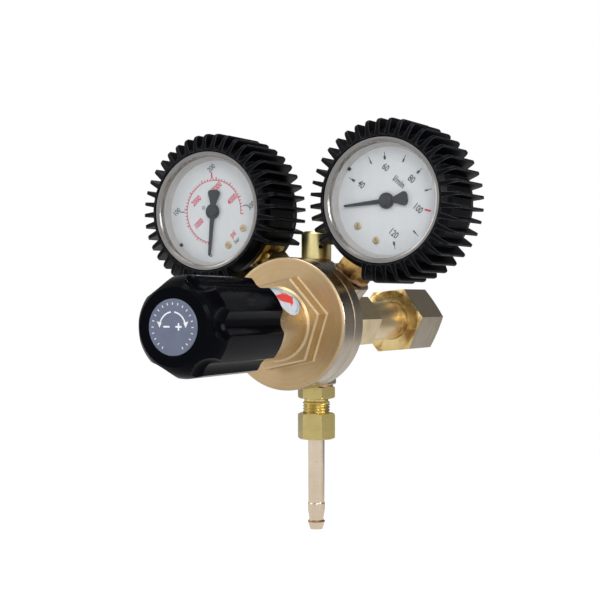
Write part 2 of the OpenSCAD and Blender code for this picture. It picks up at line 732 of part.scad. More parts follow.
// Relief poppet: a disc with a raised seat that covers the relief hole
module relief_poppet() color(steel) on_port(0) upright([
  [0, relief_floor + fit], [relief_cavity_r - 0.3, relief_floor + fit],
  [relief_cavity_r - 0.3, relief_floor + relief_poppet_t - 1], [1.8, relief_floor + relief_poppet_t - 1],
  [1.8, relief_floor + relief_poppet_t], [0, relief_floor + relief_poppet_t]
]);

// Relief spring: holds the relief poppet down
module relief_spring() color(steel) on_port(0) translate([0, 0, relief_floor + relief_poppet_t - 1])
  coil(relief_cavity_r - 1.6, 0.9, 4, relief_plug - relief_floor - relief_poppet_t + 1, 6, 16);

// Relief screw: a slotted plug that sets the relief spring
module relief_screw() color(bright_brass) on_port(0) difference() {
  translate([0, 0, relief_plug]) cylinder(h = relief_plug_t, r = relief_cavity_r - running, $fn = round_fn);
  translate([-relief_r, -0.6, relief_plug + relief_plug_t - 1.2]) cube([2 * relief_r, 1.2, 2]);
}

// Places a gauge's own frame: y runs back from its front face and z runs outwards
module at_gauge(side)
  translate([side * reach_of(side) * sin(gauge_angle), y(gauge_s), reach_of(side) * cos(gauge_angle)])
    rotate([0, side * gauge_angle, 0]) children();

// A profile of radius and depth, turned about the gauge's own axis
module gauge_turned(points) rotate([-90, 0, 0]) upright(points);

// A flat outline in x and z, made solid between two depths
module slab(from, to) translate([0, to, 0]) rotate([90, 0, 0]) linear_extrude(to - from) children();

// A straight hole or shaft along the gauge's depth
module gauge_pin(x, z, r, from, to)
  translate([x, from, z]) rotate([-90, 0, 0]) cylinder(h = to - from, r = r, $fn = round_fn / 2);

// Case: a drawn steel pot with a ledge for the dial, a stem hole and a pressed back
module gauge_case(side) color(steel) at_gauge(side) difference() {
  gauge_turned([
    [case_in_r, bezel_l], [case_r, bezel_l], [case_r, gauge_depth - 1.5], [case_r - 1.5, gauge_depth],
    [12, gauge_depth], [11.4, gauge_depth - 0.4], [0, gauge_depth - 0.4],
    [0, gauge_depth - 0.4 - case_wall], [case_r - 2, gauge_depth - case_wall - 0.4],
    [case_in_r, gauge_depth - 2], [case_in_r, dial_end + ledge],
    [case_in_r - 2.4, dial_end + ledge], [case_in_r - 2.4, dial_end], [case_in_r, dial_end]
  ]);
  translate([0, stem_t, -case_r - cut])
    cylinder(h = case_wall + 2 * cut, r = stem_d / 2 + 0.15, $fn = round_fn);
}

// Bezel: a rolled steel ring that clips into the case and holds the window
module gauge_bezel(side) color(steel) at_gauge(side) gauge_turned([
  [view_r, 0.9], [view_r + 0.4, 0.3], [view_r + 1.2, 0], [case_r - bezel_slope, 0], [case_r, bezel_slope],
  [case_r, bezel_l], [case_in_r - running, bezel_l], [case_in_r - running, bezel_skirt],
  [lens_r + fit, bezel_skirt], [lens_r + fit, lens_t], [view_r, lens_t]
]);

// Window: a clear disc under the bezel's lip
module gauge_window(side) color([0.8, 0.9, 0.9, 0.3]) at_gauge(side)
  gauge_turned([[0, lens_t], [lens_r, lens_t], [lens_r, lens_end], [0, lens_end]]);

// Spacer: a plastic ring whose sloping wall frames the dial
module gauge_spacer(side) color(off_white) at_gauge(side) gauge_turned([
  [view_r, lens_end], [lens_r, lens_end], [lens_r, dial_t], [dial_view_r, dial_t]
]);

// Dial: a painted disc with a hole for the arbor
module gauge_dial(side) color(off_white) at_gauge(side) gauge_turned([
  [1.5, dial_t], [lens_r, dial_t], [lens_r, dial_end], [1.5, dial_end]
]);

// Pointer: a tapered needle with a wide tail and a round cap, at the gauge's zero
module gauge_pointer(side, zero) color(slate) at_gauge(side) rotate([0, zero - side * gauge_angle, 0]) {
  needle_r = dial_view_r - 3;
  half = [[0, needle_r], [0.55, needle_r - 0.7], [1.15, 0], [1.1, -3], [3.3, -8.7], [3, -9.8], [1.7, -10.5]];
  slab(pointer_t, pointer_end) union() {
    circle(r = 3.7, $fn = round_fn);
    polygon(concat(half, [for (i = [len(half) - 1:-1:1]) [-half[i][0], half[i][1]]]));
  }
  gauge_turned([[0, pointer_cap_t], [1.9, pointer_cap_t], [2.8, pointer_cap_t + 0.4],
                [2.8, pointer_end - 0.1], [0, pointer_end - 0.1]]);
}

// One straight-sided tooth that stands on its pitch circle
module tooth(pitch_r)
  polygon([[-tooth_foot_half, pitch_r - tooth_drop - 0.1], [-tooth_tip_half, pitch_r + tooth_rise],
           [tooth_tip_half, pitch_r + tooth_rise], [tooth_foot_half, pitch_r - tooth_drop - 0.1]]);

// Arbor: the pointer's spindle, with its pinion
module gauge_arbor(side) color(bright_brass) at_gauge(side) {
  gauge_pin(0, 0, arbor_r, pointer_end, rear_plate_t + plate_w);
  slab(pinion_t, pinion_end) {
    circle(r = pinion_pitch_r - tooth_drop, $fn = round_fn / 2);
    for (i = [0:pinion_teeth - 1]) rotate(180 + (i + 0.5) * 360 / pinion_teeth) tooth(pinion_pitch_r);
  }
}

// Movement: two brass plates on four pillars, with a foot on the socket block
module gauge_movement(side) color(satin_brass) at_gauge(side) difference() {
  union() {
    for (from = [front_plate_t, rear_plate_t]) slab(from, from + plate_w)
      translate([-10, -21.5]) square([20, 28]);
    slab(rear_plate_t, rear_plate_t + plate_w)
      translate([-5, -block_out + 1.5]) square([10, block_out - 20]);
    for (x = [-8, 8], z = [-19.5, 4.5])
      gauge_pin(x, z, 1.2, front_plate_t + plate_w / 2, rear_plate_t + plate_w / 2);
  }
  gauge_pin(0, 0, arbor_r + running, front_plate_t - cut, rear_plate_t + plate_w + cut);
  gauge_pin(0, -gear_centre, sector_shaft_r + running, front_plate_t - cut, rear_plate_t + plate_w + cut);
}

// The outline of the toothed sector about its own pivot, with its tail hanging down
module sector_outline() {
  step = 360 / sector_teeth;
  last = pointer_sweep * pinion_teeth / sector_teeth;
  rim = sector_pitch_r - tooth_drop;
  difference() {
    intersection() {
      circle(r = rim, $fn = round_fn);
      polygon([[0, -1], 20 * [sin(-9), cos(-9)], 30 * [sin(last / 2), cos(last / 2)],
               20 * [sin(last + 9), cos(last + 9)]]);
    }
    intersection() {
      difference() {
        circle(r = rim - 2.2, $fn = round_fn);
        circle(r = 4.6, $fn = round_fn);
      }
      polygon([[0, 0], 20 * [sin(0), cos(0)], 30 * [sin(last / 2), cos(last / 2)],
               20 * [sin(last), cos(last)]]);
    }
  }
  for (a = [-step:step:last + step + 0.1]) rotate(-a) tooth(sector_pitch_r);
  circle(r = 2.6, $fn = round_fn);
  translate([-1.2, -tail_arm]) square([2.4, tail_arm]);
  translate([0, -tail_arm]) circle(r = 1.2, $fn = round_fn / 2);
}

// Sector: turns the pull of the link into the turn of the pinion
module gauge_sector(side) color(bright_brass) at_gauge(side) {
  translate([0, 0, -gear_centre]) slab(sector_t, sector_end) sector_outline();
  gauge_pin(0, -gear_centre, sector_shaft_r, front_plate_t, rear_plate_t + plate_w);
  gauge_pin(0, -gear_centre - tail_arm, link_pin_r, sector_end - fit, link_end + 0.5);
}

// Link: a flat strip from the sector's tail to the tip of the tube
module gauge_link(side) color(steel) at_gauge(side) {
  tail = [0, -gear_centre - tail_arm];
  run = tube_tip - tail;
  slab(link_t, link_end) translate(tail) rotate(atan2(run[1], run[0])) difference() {
    union() {
      translate([0, -0.8]) square([norm(run), 1.6]);
      circle(r = 1.3, $fn = round_fn / 2);
      translate([norm(run), 0]) circle(r = 1.3, $fn = round_fn / 2);
    }
    circle(r = link_pin_r + running, $fn = round_fn / 2);
    translate([norm(run), 0]) circle(r = link_pin_r + running, $fn = round_fn / 2);
  }
}

// The flattened section of the tube, shrunk by a wall
function tube_section(wall) =
  let (a = tube_flat / 2 - wall, b = tube_w / 2 - wall, c = a * 0.6,
    half = [[a, b - c], [a - c, b], [c - a, b], [-a, b - c]])
  [for (p = concat(half, [for (q = half) -q])) [tube_r, stem_t] + p];

// Bourdon tube: a flattened bronze tube bent in a C, with a lug at its tip
module gauge_tube(side) color(copper) at_gauge(side) {
  difference() {
    rotate([-90, 0, 0]) rotate([0, 0, tube_start]) difference() {
      rotate_extrude(angle = tube_sweep, $fn = round_fn) polygon(tube_section(0));
      rotate([0, 0, -1])
        rotate_extrude(angle = tube_sweep - 3, $fn = round_fn) polygon(tube_section(tube_wall));
    }
    translate([-block_half, block_t, -block_out])
      cube([2 * block_half, block_end - block_t, block_out - block_in]);
  }
  gauge_pin(tube_tip[0], tube_tip[1], tip_lug_r, link_end + 0.3, stem_t + tube_w / 2);
}

// Socket: the block inside the case, with the stem's neck, hexagon and thread
module gauge_socket(side) color(olive_brass) {
  inner = reach_of(side);
  at_gauge(side) difference() {
    union() {
      translate([-block_half, block_t, -block_out])
        cube([2 * block_half, block_end - block_t, block_out - block_in]);
      translate([0, stem_t, washer_out + stem_hex_l - 0.5 - inner])
        cylinder(h = inner - washer_out - stem_hex_l - block_out + 2, r = stem_d / 2, $fn = round_fn);
      translate([0, stem_t, -inner])
        port_hex(stem_af, washer_out, washer_out + stem_hex_l, 90 - gauge_angle);
      translate([0, stem_t, -inner]) upright([
        [0, port_floor + 1.5], [stem_d / 2 - 1, port_floor + 1.5], [stem_d / 2, port_floor + 2.5],
        [stem_d / 2, washer_out + cut], [0, washer_out + cut]]);
    }
    translate([0, stem_t, -inner]) cylinder(h = inner - tube_r + 1, r = 1.2, $fn = round_fn);
    translate([0, stem_t, -tube_r + 0.5]) rotate([0, -90, 0]) cylinder(h = 20, r = 0.8, $fn = round_fn);
  }
}

// Gauge washer: a copper ring between the stem's hexagon and its boss
module gauge_washer(side) color(copper) on_port(side * gauge_angle)
  upright([[stem_d / 2 + fit, boss_reach], [stem_af / 2, boss_reach],
           [stem_af / 2, washer_out], [stem_d / 2 + fit, washer_out]]);

// The outline of a boot's fins: tapered ribs with blunt tips, left out beside the stem
module fin_outline() {
  foot = asin(fin_foot / 2 / boot_root_r);
  tip = asin(fin_tip / 2 / boot_tip_r);
  inner = lip_out_r - 0.5;
  shoulder = boot_tip_r - fin_tip * 0.4;
  polygon([for (i = [0:fin_count - 1])
    let (a = i * 360 / fin_count - fin_turn, full = abs(a - 270) > fin_gap,
      side_r = full ? shoulder : inner, tip_r = full ? boot_tip_r : inner,
      fin = [[inner, -foot], [side_r, -tip], [tip_r, -tip / 2],
             [tip_r, tip / 2], [side_r, tip], [inner, foot]])
    for (p = fin) p[0] * [cos(a + p[1]), sin(a + p[1])]]);
}

// Boot: a rubber sleeve with fins all round, a lip over the bezel and a slot for the stem
module gauge_boot(side) color(black) at_gauge(side) difference() {
  union() {
    gauge_turned([
      [0, -lip_t], [lip_out_r, -lip_t], [boot_bore_r + 0.7, bezel_slope + 0.1], [boot_root_r, wall_full],
      [boot_root_r, boot_end - 5.6], [boot_root_r - 0.9, boot_end - 2.1], [0, boot_end - 2.1]
    ]);
    intersection() {
      gauge_turned(concat(
        [[0, -lip_t], [lip_out_r, -lip_t]],
        arc([boot_tip_r - fin_corner, fin_corner + 0.4], fin_corner, -80, 0, 5),
        arc([boot_tip_r - fin_rear, boot_end - fin_rear], fin_rear, 0, 90, 4),
        [[0, boot_end]]
      ));
      slab(-lip_t - cut, boot_end + cut) fin_outline();
    }
  }
  gauge_turned([
    [0, -lip_t - cut], [lip_in_r, -lip_t - cut], [lip_in_r, lip_in_r - case_r + bezel_slope - 1.5 * running],
    [boot_bore_r, boot_bore_r - case_r + bezel_slope - 1.5 * running], [boot_bore_r, boot_end + cut],
    [0, boot_end + cut]
  ]);
  translate([-slot_half, slot_t, -boot_tip_r - cut]) cube([2 * slot_half, boot_end, boot_tip_r / 2]);
}

module pressure_case() gauge_case(LEFT);
module pressure_bezel() gauge_bezel(LEFT);
module pressure_window() gauge_window(LEFT);
module pressure_spacer() gauge_spacer(LEFT);
module pressure_dial() gauge_dial(LEFT);
module pressure_pointer() gauge_pointer(LEFT, left_zero);
module pressure_arbor() gauge_arbor(LEFT);
module pressure_movement() gauge_movement(LEFT);
module pressure_sector() gauge_sector(LEFT);
module pressure_link() gauge_link(LEFT);
module pressure_tube() gauge_tube(LEFT);
module pressure_socket() gauge_socket(LEFT);
module pressure_washer() gauge_washer(LEFT);
module pressure_boot() gauge_boot(LEFT);

module flow_case() gauge_case(RIGHT);
module flow_bezel() gauge_bezel(RIGHT);
module flow_window() gauge_window(RIGHT);
module flow_spacer() gauge_spacer(RIGHT);
module flow_dial() gauge_dial(RIGHT);
module flow_pointer() gauge_pointer(RIGHT, right_zero);
module flow_arbor() gauge_arbor(RIGHT);
module flow_movement() gauge_movement(RIGHT);
module flow_sector() gauge_sector(RIGHT);
module flow_link() gauge_link(RIGHT);
module flow_tube() gauge_tube(RIGHT);
module flow_socket() gauge_socket(RIGHT);
module flow_washer() gauge_washer(RIGHT);
module flow_boot() gauge_boot(RIGHT);

bonnet();
slip_ring();
diaphragm();
diaphragm_plate();
body();
spring_seat();
main_spring();
adjusting_screw();
knob();
knob_label();
knob_screw();
nozzle();
valve_pin();
poppet();
valve_housing();
valve_spring();
inlet_nipple();
nipple_washer();
filter();
inlet_seal();
inlet_nut();
outlet_washer();
outlet_adapter();
orifice();
outlet_nut();
hose_barb();
relief_washer();
relief_body();
relief_poppet();
relief_spring();
relief_screw();
pressure_case();
pressure_bezel();
pressure_window();
pressure_spacer();
pressure_dial();
pressure_pointer();
pressure_arbor();
pressure_movement();
pressure_sector();
pressure_link();
pressure_tube();
pressure_socket();
pressure_washer();
pressure_boot();
flow_case();
flow_bezel();
flow_window();
flow_spacer();
flow_dial();
flow_pointer();
flow_arbor();
flow_movement();
flow_sector();
flow_link();
flow_tube();
flow_socket();
flow_washer();
flow_boot();
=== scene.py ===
import math

import bmesh
import bpy
from mathutils import Matrix, Vector


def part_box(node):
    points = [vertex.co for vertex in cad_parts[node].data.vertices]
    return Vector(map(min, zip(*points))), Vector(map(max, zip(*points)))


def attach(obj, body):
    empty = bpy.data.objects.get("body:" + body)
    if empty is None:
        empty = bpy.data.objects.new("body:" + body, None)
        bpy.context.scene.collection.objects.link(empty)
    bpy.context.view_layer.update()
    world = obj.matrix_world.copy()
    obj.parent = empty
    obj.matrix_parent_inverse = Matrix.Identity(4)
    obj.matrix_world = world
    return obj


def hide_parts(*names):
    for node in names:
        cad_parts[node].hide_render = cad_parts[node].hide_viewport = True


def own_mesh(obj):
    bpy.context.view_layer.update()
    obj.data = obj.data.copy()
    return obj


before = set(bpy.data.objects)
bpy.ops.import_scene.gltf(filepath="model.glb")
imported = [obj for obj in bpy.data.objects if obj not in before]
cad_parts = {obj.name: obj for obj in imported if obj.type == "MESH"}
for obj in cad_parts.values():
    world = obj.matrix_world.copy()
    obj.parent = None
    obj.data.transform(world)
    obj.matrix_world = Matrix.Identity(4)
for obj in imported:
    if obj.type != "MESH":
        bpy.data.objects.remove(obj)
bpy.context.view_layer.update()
scene = bpy.context.scene
scene.view_settings.view_transform = "Standard"


# Camera
# It stands to the right of the knob's end and level with the body, as when the photograph was taken. Its
# place, turn and lens follow from the shapes of the round and hexagonal parts in the photograph.
CAMERA_PLACE = (0.31033, -0.71811, 0.011)
CAMERA_TURN = 28
camera_data = bpy.data.cameras.new("camera")
camera_data.lens = 84
camera_data.sensor_width = 36
camera_data.clip_start = 0.01
camera = bpy.data.objects.new("camera", camera_data)
camera.location = CAMERA_PLACE
camera.rotation_euler = (math.radians(90), 0, math.radians(CAMERA_TURN))
scene.collection.objects.link(camera)
scene.camera = camera


# Studio room
# The surround is white to the camera. What the metal mirrors is a bright room on the camera's side, with
# lighter and darker panels, and a dim one behind the object, brighter on the left and a little at eye level.
WHITE = (1, 1, 1, 1)
MATT_LEVEL = 0.95
FRONT_LEVEL = 0.90
PANEL_RATE = 9.0
PANEL_SWING = -0.28
BACK_LEFT_LEVEL = 0.50
BACK_LEVEL = 0.11
EYE_LEVEL = 0.24


def node(tree, kind, values=None, **settings):
    """A shader node with its settings, and its inputs as plain values or linked sockets."""
    made = tree.nodes.new(kind)
    for key, value in settings.items():
        setattr(made, key, value)
    for key, value in (values or {}).items():
        socket = made.inputs[key]
        if isinstance(value, bpy.types.NodeSocket):
            tree.links.new(value, socket)
        else:
            socket.default_value = value
    return made


def maths(tree, operation, *values):
    """The result of one Math node."""
    return node(tree, "ShaderNodeMath", dict(enumerate(values)), operation=operation).outputs[0]


def vector_maths(tree, operation, *values):
    """The vector that one Vector Math node puts out."""
    made = node(tree, "ShaderNodeVectorMath", dict(enumerate(values)), operation=operation)
    return made.outputs["Vector"]


def vector_value(tree, operation, *values):
    """The single value that one Vector Math node puts out."""
    made = node(tree, "ShaderNodeVectorMath", dict(enumerate(values)), operation=operation)
    return made.outputs["Value"]


def remap(tree, value, low, high, to_low=0.0, to_high=1.0, kind="LINEAR"):
    """A value carried from one range to another, and held inside it."""
    values = {"Value": value, "From Min": low, "From Max": high, "To Min": to_low, "To Max": to_high}
    return node(tree, "ShaderNodeMapRange", values, interpolation_type=kind).outputs["Result"]


def mix(tree, share, first, second):
    """A value between two values."""
    return node(tree, "ShaderNodeMix", {0: share, 2: first, 3: second}).outputs[0]


world = bpy.data.worlds.new("studio")
scene.world = world
world.use_nodes = True
tree = world.node_tree
tree.nodes.clear()
rays = node(tree, "ShaderNodeLightPath").outputs
direction = node(tree, "ShaderNodeTexCoord").outputs["Generated"]
look = node(tree, "ShaderNodeSeparateXYZ", {0: direction}).outputs
back = remap(tree, look["X"], -0.5, -0.2, BACK_LEFT_LEVEL, BACK_LEVEL, "SMOOTHSTEP")
near_eye_level = remap(tree, maths(tree, "ABSOLUTE", look["Z"]), 0.08, 0.26, 1.0, 0.0, "SMOOTHSTEP")
back = mix(tree, near_eye_level, back, EYE_LEVEL)
turn = maths(tree, "ARCTAN2", look["X"], look["Y"])
panels = maths(tree, "SINE", maths(tree, "MULTIPLY", turn, PANEL_RATE))
front = maths(tree, "ADD", FRONT_LEVEL, maths(tree, "MULTIPLY", panels, PANEL_SWING))
room = mix(tree, remap(tree, look["Y"], -0.3, 0.3, 1.0, 0.0, "SMOOTHSTEP"), back, front)
plain = maths(tree, "MAXIMUM", rays["Is Camera Ray"], rays["Is Transmission Ray"])
level = mix(tree, plain, mix(tree, rays["Is Glossy Ray"], MATT_LEVEL, room), 1.0)
background = node(tree, "ShaderNodeBackground", {"Color": WHITE, "Strength": level})
node(tree, "ShaderNodeOutputWorld", {"Surface": background.outputs[0]})


# Lamps
# Four soft boxes, in metres and watts: to the right and the left of the camera, overhead, and far out to the
# object's right.
OBJECT_MIDDLE = Vector((0, -0.13, 0.01))


def soft_box(name, place, width, height, power):
    """An area lamp that looks at the middle of the object."""
    data = bpy.data.lights.new(name, "AREA")
    data.shape = "RECTANGLE"
    data.size = width
    data.size_y = height
    data.energy = power
    lamp = bpy.data.objects.new(name, data)
    lamp.location = place
    lamp.rotation_euler = (OBJECT_MIDDLE - Vector(place)).to_track_quat("-Z", "Y").to_euler()
    scene.collection.objects.link(lamp)


soft_box("lamp_right", (0.75, -0.95, 0.55), width=0.35, height=0.6, power=4.0)
soft_box("lamp_left", (-0.9, -0.75, 0.35), width=0.35, height=0.8, power=1.5)
soft_box("lamp_top", (0.0, -0.2, 1.0), width=0.6, height=0.5, power=2.5)
soft_box("lamp_side", (1.25, -0.13, 0.42), width=0.45, height=0.6, power=8.0)


# Floor
# Pale paper well below the hanging object. It keeps the object's shadow and turns plain white further away,
# so that no edge shows where it ends. Metal mirrors it as an even pale grey that dims behind the object.
FLOOR_HALF = 6
FLOOR_Z = -0.165
PAPER_GREY = (0.80, 0.80, 0.80, 1)
PAPER_LIFT = 0.30
MIRRORED_FRONT = 0.80
MIRRORED_BACK = 0.26


def bare_material(name):
    """A material and its tree, with no nodes in it."""
    made = bpy.data.materials.new(name)
    made.use_nodes = True
    made.node_tree.nodes.clear()
    return made, made.node_tree


def own_place(tree):
    """Where a point of the surface lies in its object's own frame."""
    return node(tree, "ShaderNodeTexCoord").outputs["Object"]


def along_axis(tree, place, letter):
    """How far a place lies along X, Y or Z."""
    return node(tree, "ShaderNodeSeparateXYZ", {0: place}).outputs[letter]


corners = [(x * FLOOR_HALF, y * FLOOR_HALF, 0) for x, y in ((-1, -1), (1, -1), (1, 1), (-1, 1))]
floor_mesh = bpy.data.meshes.new("floor")
floor_mesh.from_pydata(corners, [], [(0, 1, 2, 3)])
floor = bpy.data.objects.new("floor", floor_mesh)
floor.location = (0, 0, FLOOR_Z)
scene.collection.objects.link(floor)
paper, tree = bare_material("floor_paper")
here = own_place(tree)
far = remap(tree, vector_value(tree, "LENGTH", here), 0.25, 0.95, 0.0, 1.0, "SMOOTHSTEP")
rays = node(tree, "ShaderNodeLightPath").outputs
plain = maths(tree, "MAXIMUM", rays["Is Camera Ray"], rays["Is Transmission Ray"])
matt = node(tree, "ShaderNodeBsdfDiffuse", {"Color": PAPER_GREY})
glow = maths(tree, "MULTIPLY", plain, PAPER_LIFT)
lift = node(tree, "ShaderNodeEmission", {"Color": WHITE, "Strength": glow})
lit = node(tree, "ShaderNodeAddShader", {0: matt.outputs[0], 1: lift.outputs[0]})
behind = along_axis(tree, here, "Y")
mirrored = remap(tree, behind, 0.25, 0.75, MIRRORED_FRONT, MIRRORED_BACK, "SMOOTHSTEP")
white = node(tree, "ShaderNodeEmission", {"Color": WHITE, "Strength": mix(tree, plain, mirrored, 1.0)})
share = maths(tree, "MAXIMUM", maths(tree, "MULTIPLY", plain, far), rays["Is Glossy Ray"])
surface = node(tree, "ShaderNodeMixShader", {0: share, 1: lit.outputs[0], 2: white.outputs[0]})
node(tree, "ShaderNodeOutputMaterial", {"Surface": surface.outputs[0]})
floor_mesh.materials.append(paper)


# Bonnet
# The body's front half: a turned brass cup with a neck for the knob, a spanner hexagon and a flange. Fine
# rings run round the main axis on its satin faces, and hands have dulled and scratched it.
TURNED_PITCH = 0.0003
RIM_FROM = 0.026
RIM_BY = RIM_FROM + 0.001


def effect(name, inputs, outputs):
    """An empty shader group with named inputs (name, kind, value) and outputs (name, kind)."""
    group = bpy.data.node_groups.new(name, "ShaderNodeTree")
    for label, kind, value in inputs:
        socket = group.interface.new_socket(name=label, in_out="INPUT", socket_type=f"NodeSocket{kind}")
        socket.default_value = value
    for label, kind in outputs:
        group.interface.new_socket(name=label, in_out="OUTPUT", socket_type=f"NodeSocket{kind}")
    return group, group.nodes.new("NodeGroupInput").outputs, group.nodes.new("NodeGroupOutput").inputs


def use(tree, group, **values):
    """The outputs of an effect placed in a material. An underscore in a name stands for a space."""
    named = {label.replace("_", " "): value for label, value in values.items()}
    return node(tree, "ShaderNodeGroup", named, node_tree=group).outputs


def noise(tree, place, scale, detail=2.0, roughness=0.5, distortion=0.0):
    """The value of one noise texture."""
    values = {"Vector": place, "Scale": scale, "Detail": detail, "Roughness": roughness}
    values["Distortion"] = distortion
    return node(tree, "ShaderNodeTexNoise", values).outputs[0]


def blend(tree, share, first, second):
    """A colour between two colours."""
    made = node(tree, "ShaderNodeMix", {0: share}, data_type="RGBA")
    for slot, colour in ((6, first), (7, second)):
        if isinstance(colour, bpy.types.NodeSocket):
            tree.links.new(colour, made.inputs[slot])
        else:
            made.inputs[slot].default_value = (*colour, 1)
    return made.outputs[2]


# Lines and Bands are the fine and the broad rings, End is 1 on faces across the axis, and Radius is the
# distance from it.
turned_lines, given, result = effect(
    "turned lines",
    [("Centre", "Vector", (0, 0, 0)), ("Axis", "Vector", (0, 1, 0)), ("Spacing", "Float", TURNED_PITCH)],
    [("Lines", "Float"), ("Bands", "Float"), ("End", "Float"), ("Radius", "Float")],
)
tree = turned_lines
here = node(tree, "ShaderNodeTexCoord").outputs
offset = vector_maths(tree, "SUBTRACT", here["Object"], given["Centre"])
along = vector_value(tree, "DOT_PRODUCT", offset, given["Axis"])
straight = node(tree, "ShaderNodeVectorMath", {0: given["Axis"], "Scale": along}, operation="SCALE")
from_axis = vector_maths(tree, "SUBTRACT", offset, straight.outputs[0])
radius = vector_value(tree, "LENGTH", from_axis)
tree.links.new(radius, result["Radius"])
swing = maths(tree, "MULTIPLY", noise(tree, here["Object"], 60.0), 0.00004)
radius = maths(tree, "ADD", radius, swing)
profile = node(tree, "ShaderNodeCombineXYZ", {0: radius, 1: along}).outputs[0]
rate = maths(tree, "DIVIDE", 1.0, given["Spacing"])
slow_rate = maths(tree, "MULTIPLY", rate, 0.12)
tree.links.new(noise(tree, profile, rate, 3.0, 0.65), result["Lines"])
tree.links.new(noise(tree, profile, slow_rate, 2.0), result["Bands"])
facing = maths(tree, "ABSOLUTE", vector_value(tree, "DOT_PRODUCT", here["Normal"], given["Axis"]))
tree.links.new(remap(tree, facing, 0.6, 0.8), result["End"])

# Edge is 1 on an edge, in patches.
edge_patches, given, result = effect(
    "edge patches",
    [("Width", "Float", 0.0004), ("Break up", "Float", 400.0)],
    [("Edge", "Float")],
)
tree = edge_patches
here = own_place(tree)
flat = node(tree, "ShaderNodeNewGeometry").outputs["Normal"]
rounded = node(tree, "ShaderNodeBevel", {"Radius": given["Width"]}, samples=4).outputs["Normal"]
bend = maths(tree, "SUBTRACT", 1.0, vector_value(tree, "DOT_PRODUCT", flat, rounded))
patchy = remap(tree, noise(tree, here, given["Break up"], 3.0), 0.35, 0.7, 0.3, 1.0)
tree.links.new(maths(tree, "MULTIPLY", remap(tree, bend, 0.01, 0.15), patchy), result["Edge"])

# Smudge is cloudy, Scratch has fine strokes in three directions, and Spots are small specks.
handling, given, result = effect(
    "handling marks",
    [("Scale", "Float", 60.0)],
    [("Smudge", "Float"), ("Scratch", "Float"), ("Spots", "Float")],
)
tree = handling
here = own_place(tree)
smudge = noise(tree, here, given["Scale"], 4.0, 0.6, 0.4)
tree.links.new(remap(tree, smudge, 0.35, 0.7), result["Smudge"])
fine = maths(tree, "MULTIPLY", given["Scale"], 1.6)
scratches = 0.0
for turn, stretch in (
        ((0.3, 0.8, 0.2), (1, 30, 1)),
        ((1.2, 0.2, 0.9), (30, 1, 1)),
        ((0.6, 1.4, 2.0), (1, 1, 30))):
    spun = node(tree, "ShaderNodeMapping", {"Vector": here, "Rotation": turn, "Scale": stretch}).outputs[0]
    scratches = maths(tree, "MAXIMUM", scratches, remap(tree, noise(tree, spun, fine, 1.0), 0.69, 0.74))
tree.links.new(scratches, result["Scratch"])
specks = noise(tree, here, maths(tree, "MULTIPLY", given["Scale"], 14.0), 1.0)
tree.links.new(remap(tree, specks, 0.71, 0.76), result["Spots"])


def new_material(name):
    """A material, its tree and its shader, joined to the output."""
    made, tree = bare_material(name)
    shader = node(tree, "ShaderNodeBsdfPrincipled")
    node(tree, "ShaderNodeOutputMaterial", {"Surface": shader.outputs[0]})
    return made, tree, shader


def shaded(colour, share):
    """A colour brought down to a share of its brightness."""
    return [share * part for part in colour]


def turned_metal(name, colour, dark, edge, roughness, centre=(0, 0, 0), axis=(0, 1, 0),
                 sides=None, side_roughness=None, rim=None, wear_and_highlight=0.75):
    """Metal that was turned about an axis: fine rings, uneven tone, bright edges and the marks of handling.

    sides is the colour of what lies round the axis, such as a hexagon's flats, where it differs from the
    ends, and rim the colour of such surfaces beyond a radius. On the bonnet a lighter sides colour is a
    painted highlight, and on the inlet nut a darker one is painted shade. The last argument is how far edges
    take on
    their own colour: wear, and where that colour is lighter, also a painted highlight.
    """
    made, tree, shader = new_material(name)
    lines = use(tree, turned_lines, Centre=centre, Axis=axis)
    marks = use(tree, handling, Scale=70.0)
    edge_mask = use(tree, edge_patches, Width=0.0005, Break_up=350.0)["Edge"]
    tone = maths(tree, "MULTIPLY", lines["Bands"], 0.5)
    tone = maths(tree, "ADD", tone, maths(tree, "MULTIPLY", marks["Smudge"], 0.4))
    shade = remap(tree, tone, 0.2, 0.75)
    skin = blend(tree, shade, colour, dark)
    # A sides colour that differs from the ends paints light or shade: a highlight on the bonnet, shade on the
    # inlet nut.
    if sides:
        round_skin = blend(tree, shade, sides, shaded(sides, 0.75))
        if rim:
            outer = remap(tree, lines["Radius"], RIM_FROM, RIM_BY)
            round_skin = blend(tree, outer, round_skin, blend(tree, shade, rim, shaded(rim, 0.8)))
        skin = blend(tree, lines["End"], round_skin, skin)
    skin = blend(tree, maths(tree, "MULTIPLY", marks["Spots"], 0.5), skin, shaded(dark, 0.35))
    # Edges take on the edge colour: wear, and where that colour is lighter, a painted highlight as well.
    skin = blend(tree, maths(tree, "MULTIPLY", edge_mask, wear_and_highlight), skin, edge)
    tree.links.new(skin, shader.inputs["Base Color"])
    rough = maths(tree, "ADD", roughness - 0.06, maths(tree, "MULTIPLY", marks["Smudge"], 0.10))
    if side_roughness:
        rough = mix(tree, lines["End"], maths(tree, "ADD", rough, side_roughness - roughness), rough)
    rough = maths(tree, "ADD", rough, maths(tree, "MULTIPLY", lines["Lines"], 0.08))
    rough = maths(tree, "SUBTRACT", rough, maths(tree, "MULTIPLY", edge_mask, 0.06))
    tree.links.new(rough, shader.inputs["Roughness"])
    shader.inputs["Metallic"].default_value = 1.0
    height = maths(tree, "SUBTRACT", lines["Lines"], maths(tree, "MULTIPLY", marks["Scratch"], 0.6))
    bump = node(tree, "ShaderNodeBump", {"Height": height, "Strength": 0.35, "Distance": 0.00003})
    tree.links.new(bump.outputs[0], shader.inputs["Normal"])
    return made


def finish(names, material):
    """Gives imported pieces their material."""
    for name in names.split():
        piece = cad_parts[name]
        piece.data.materials.clear()
        piece.data.materials.append(material)


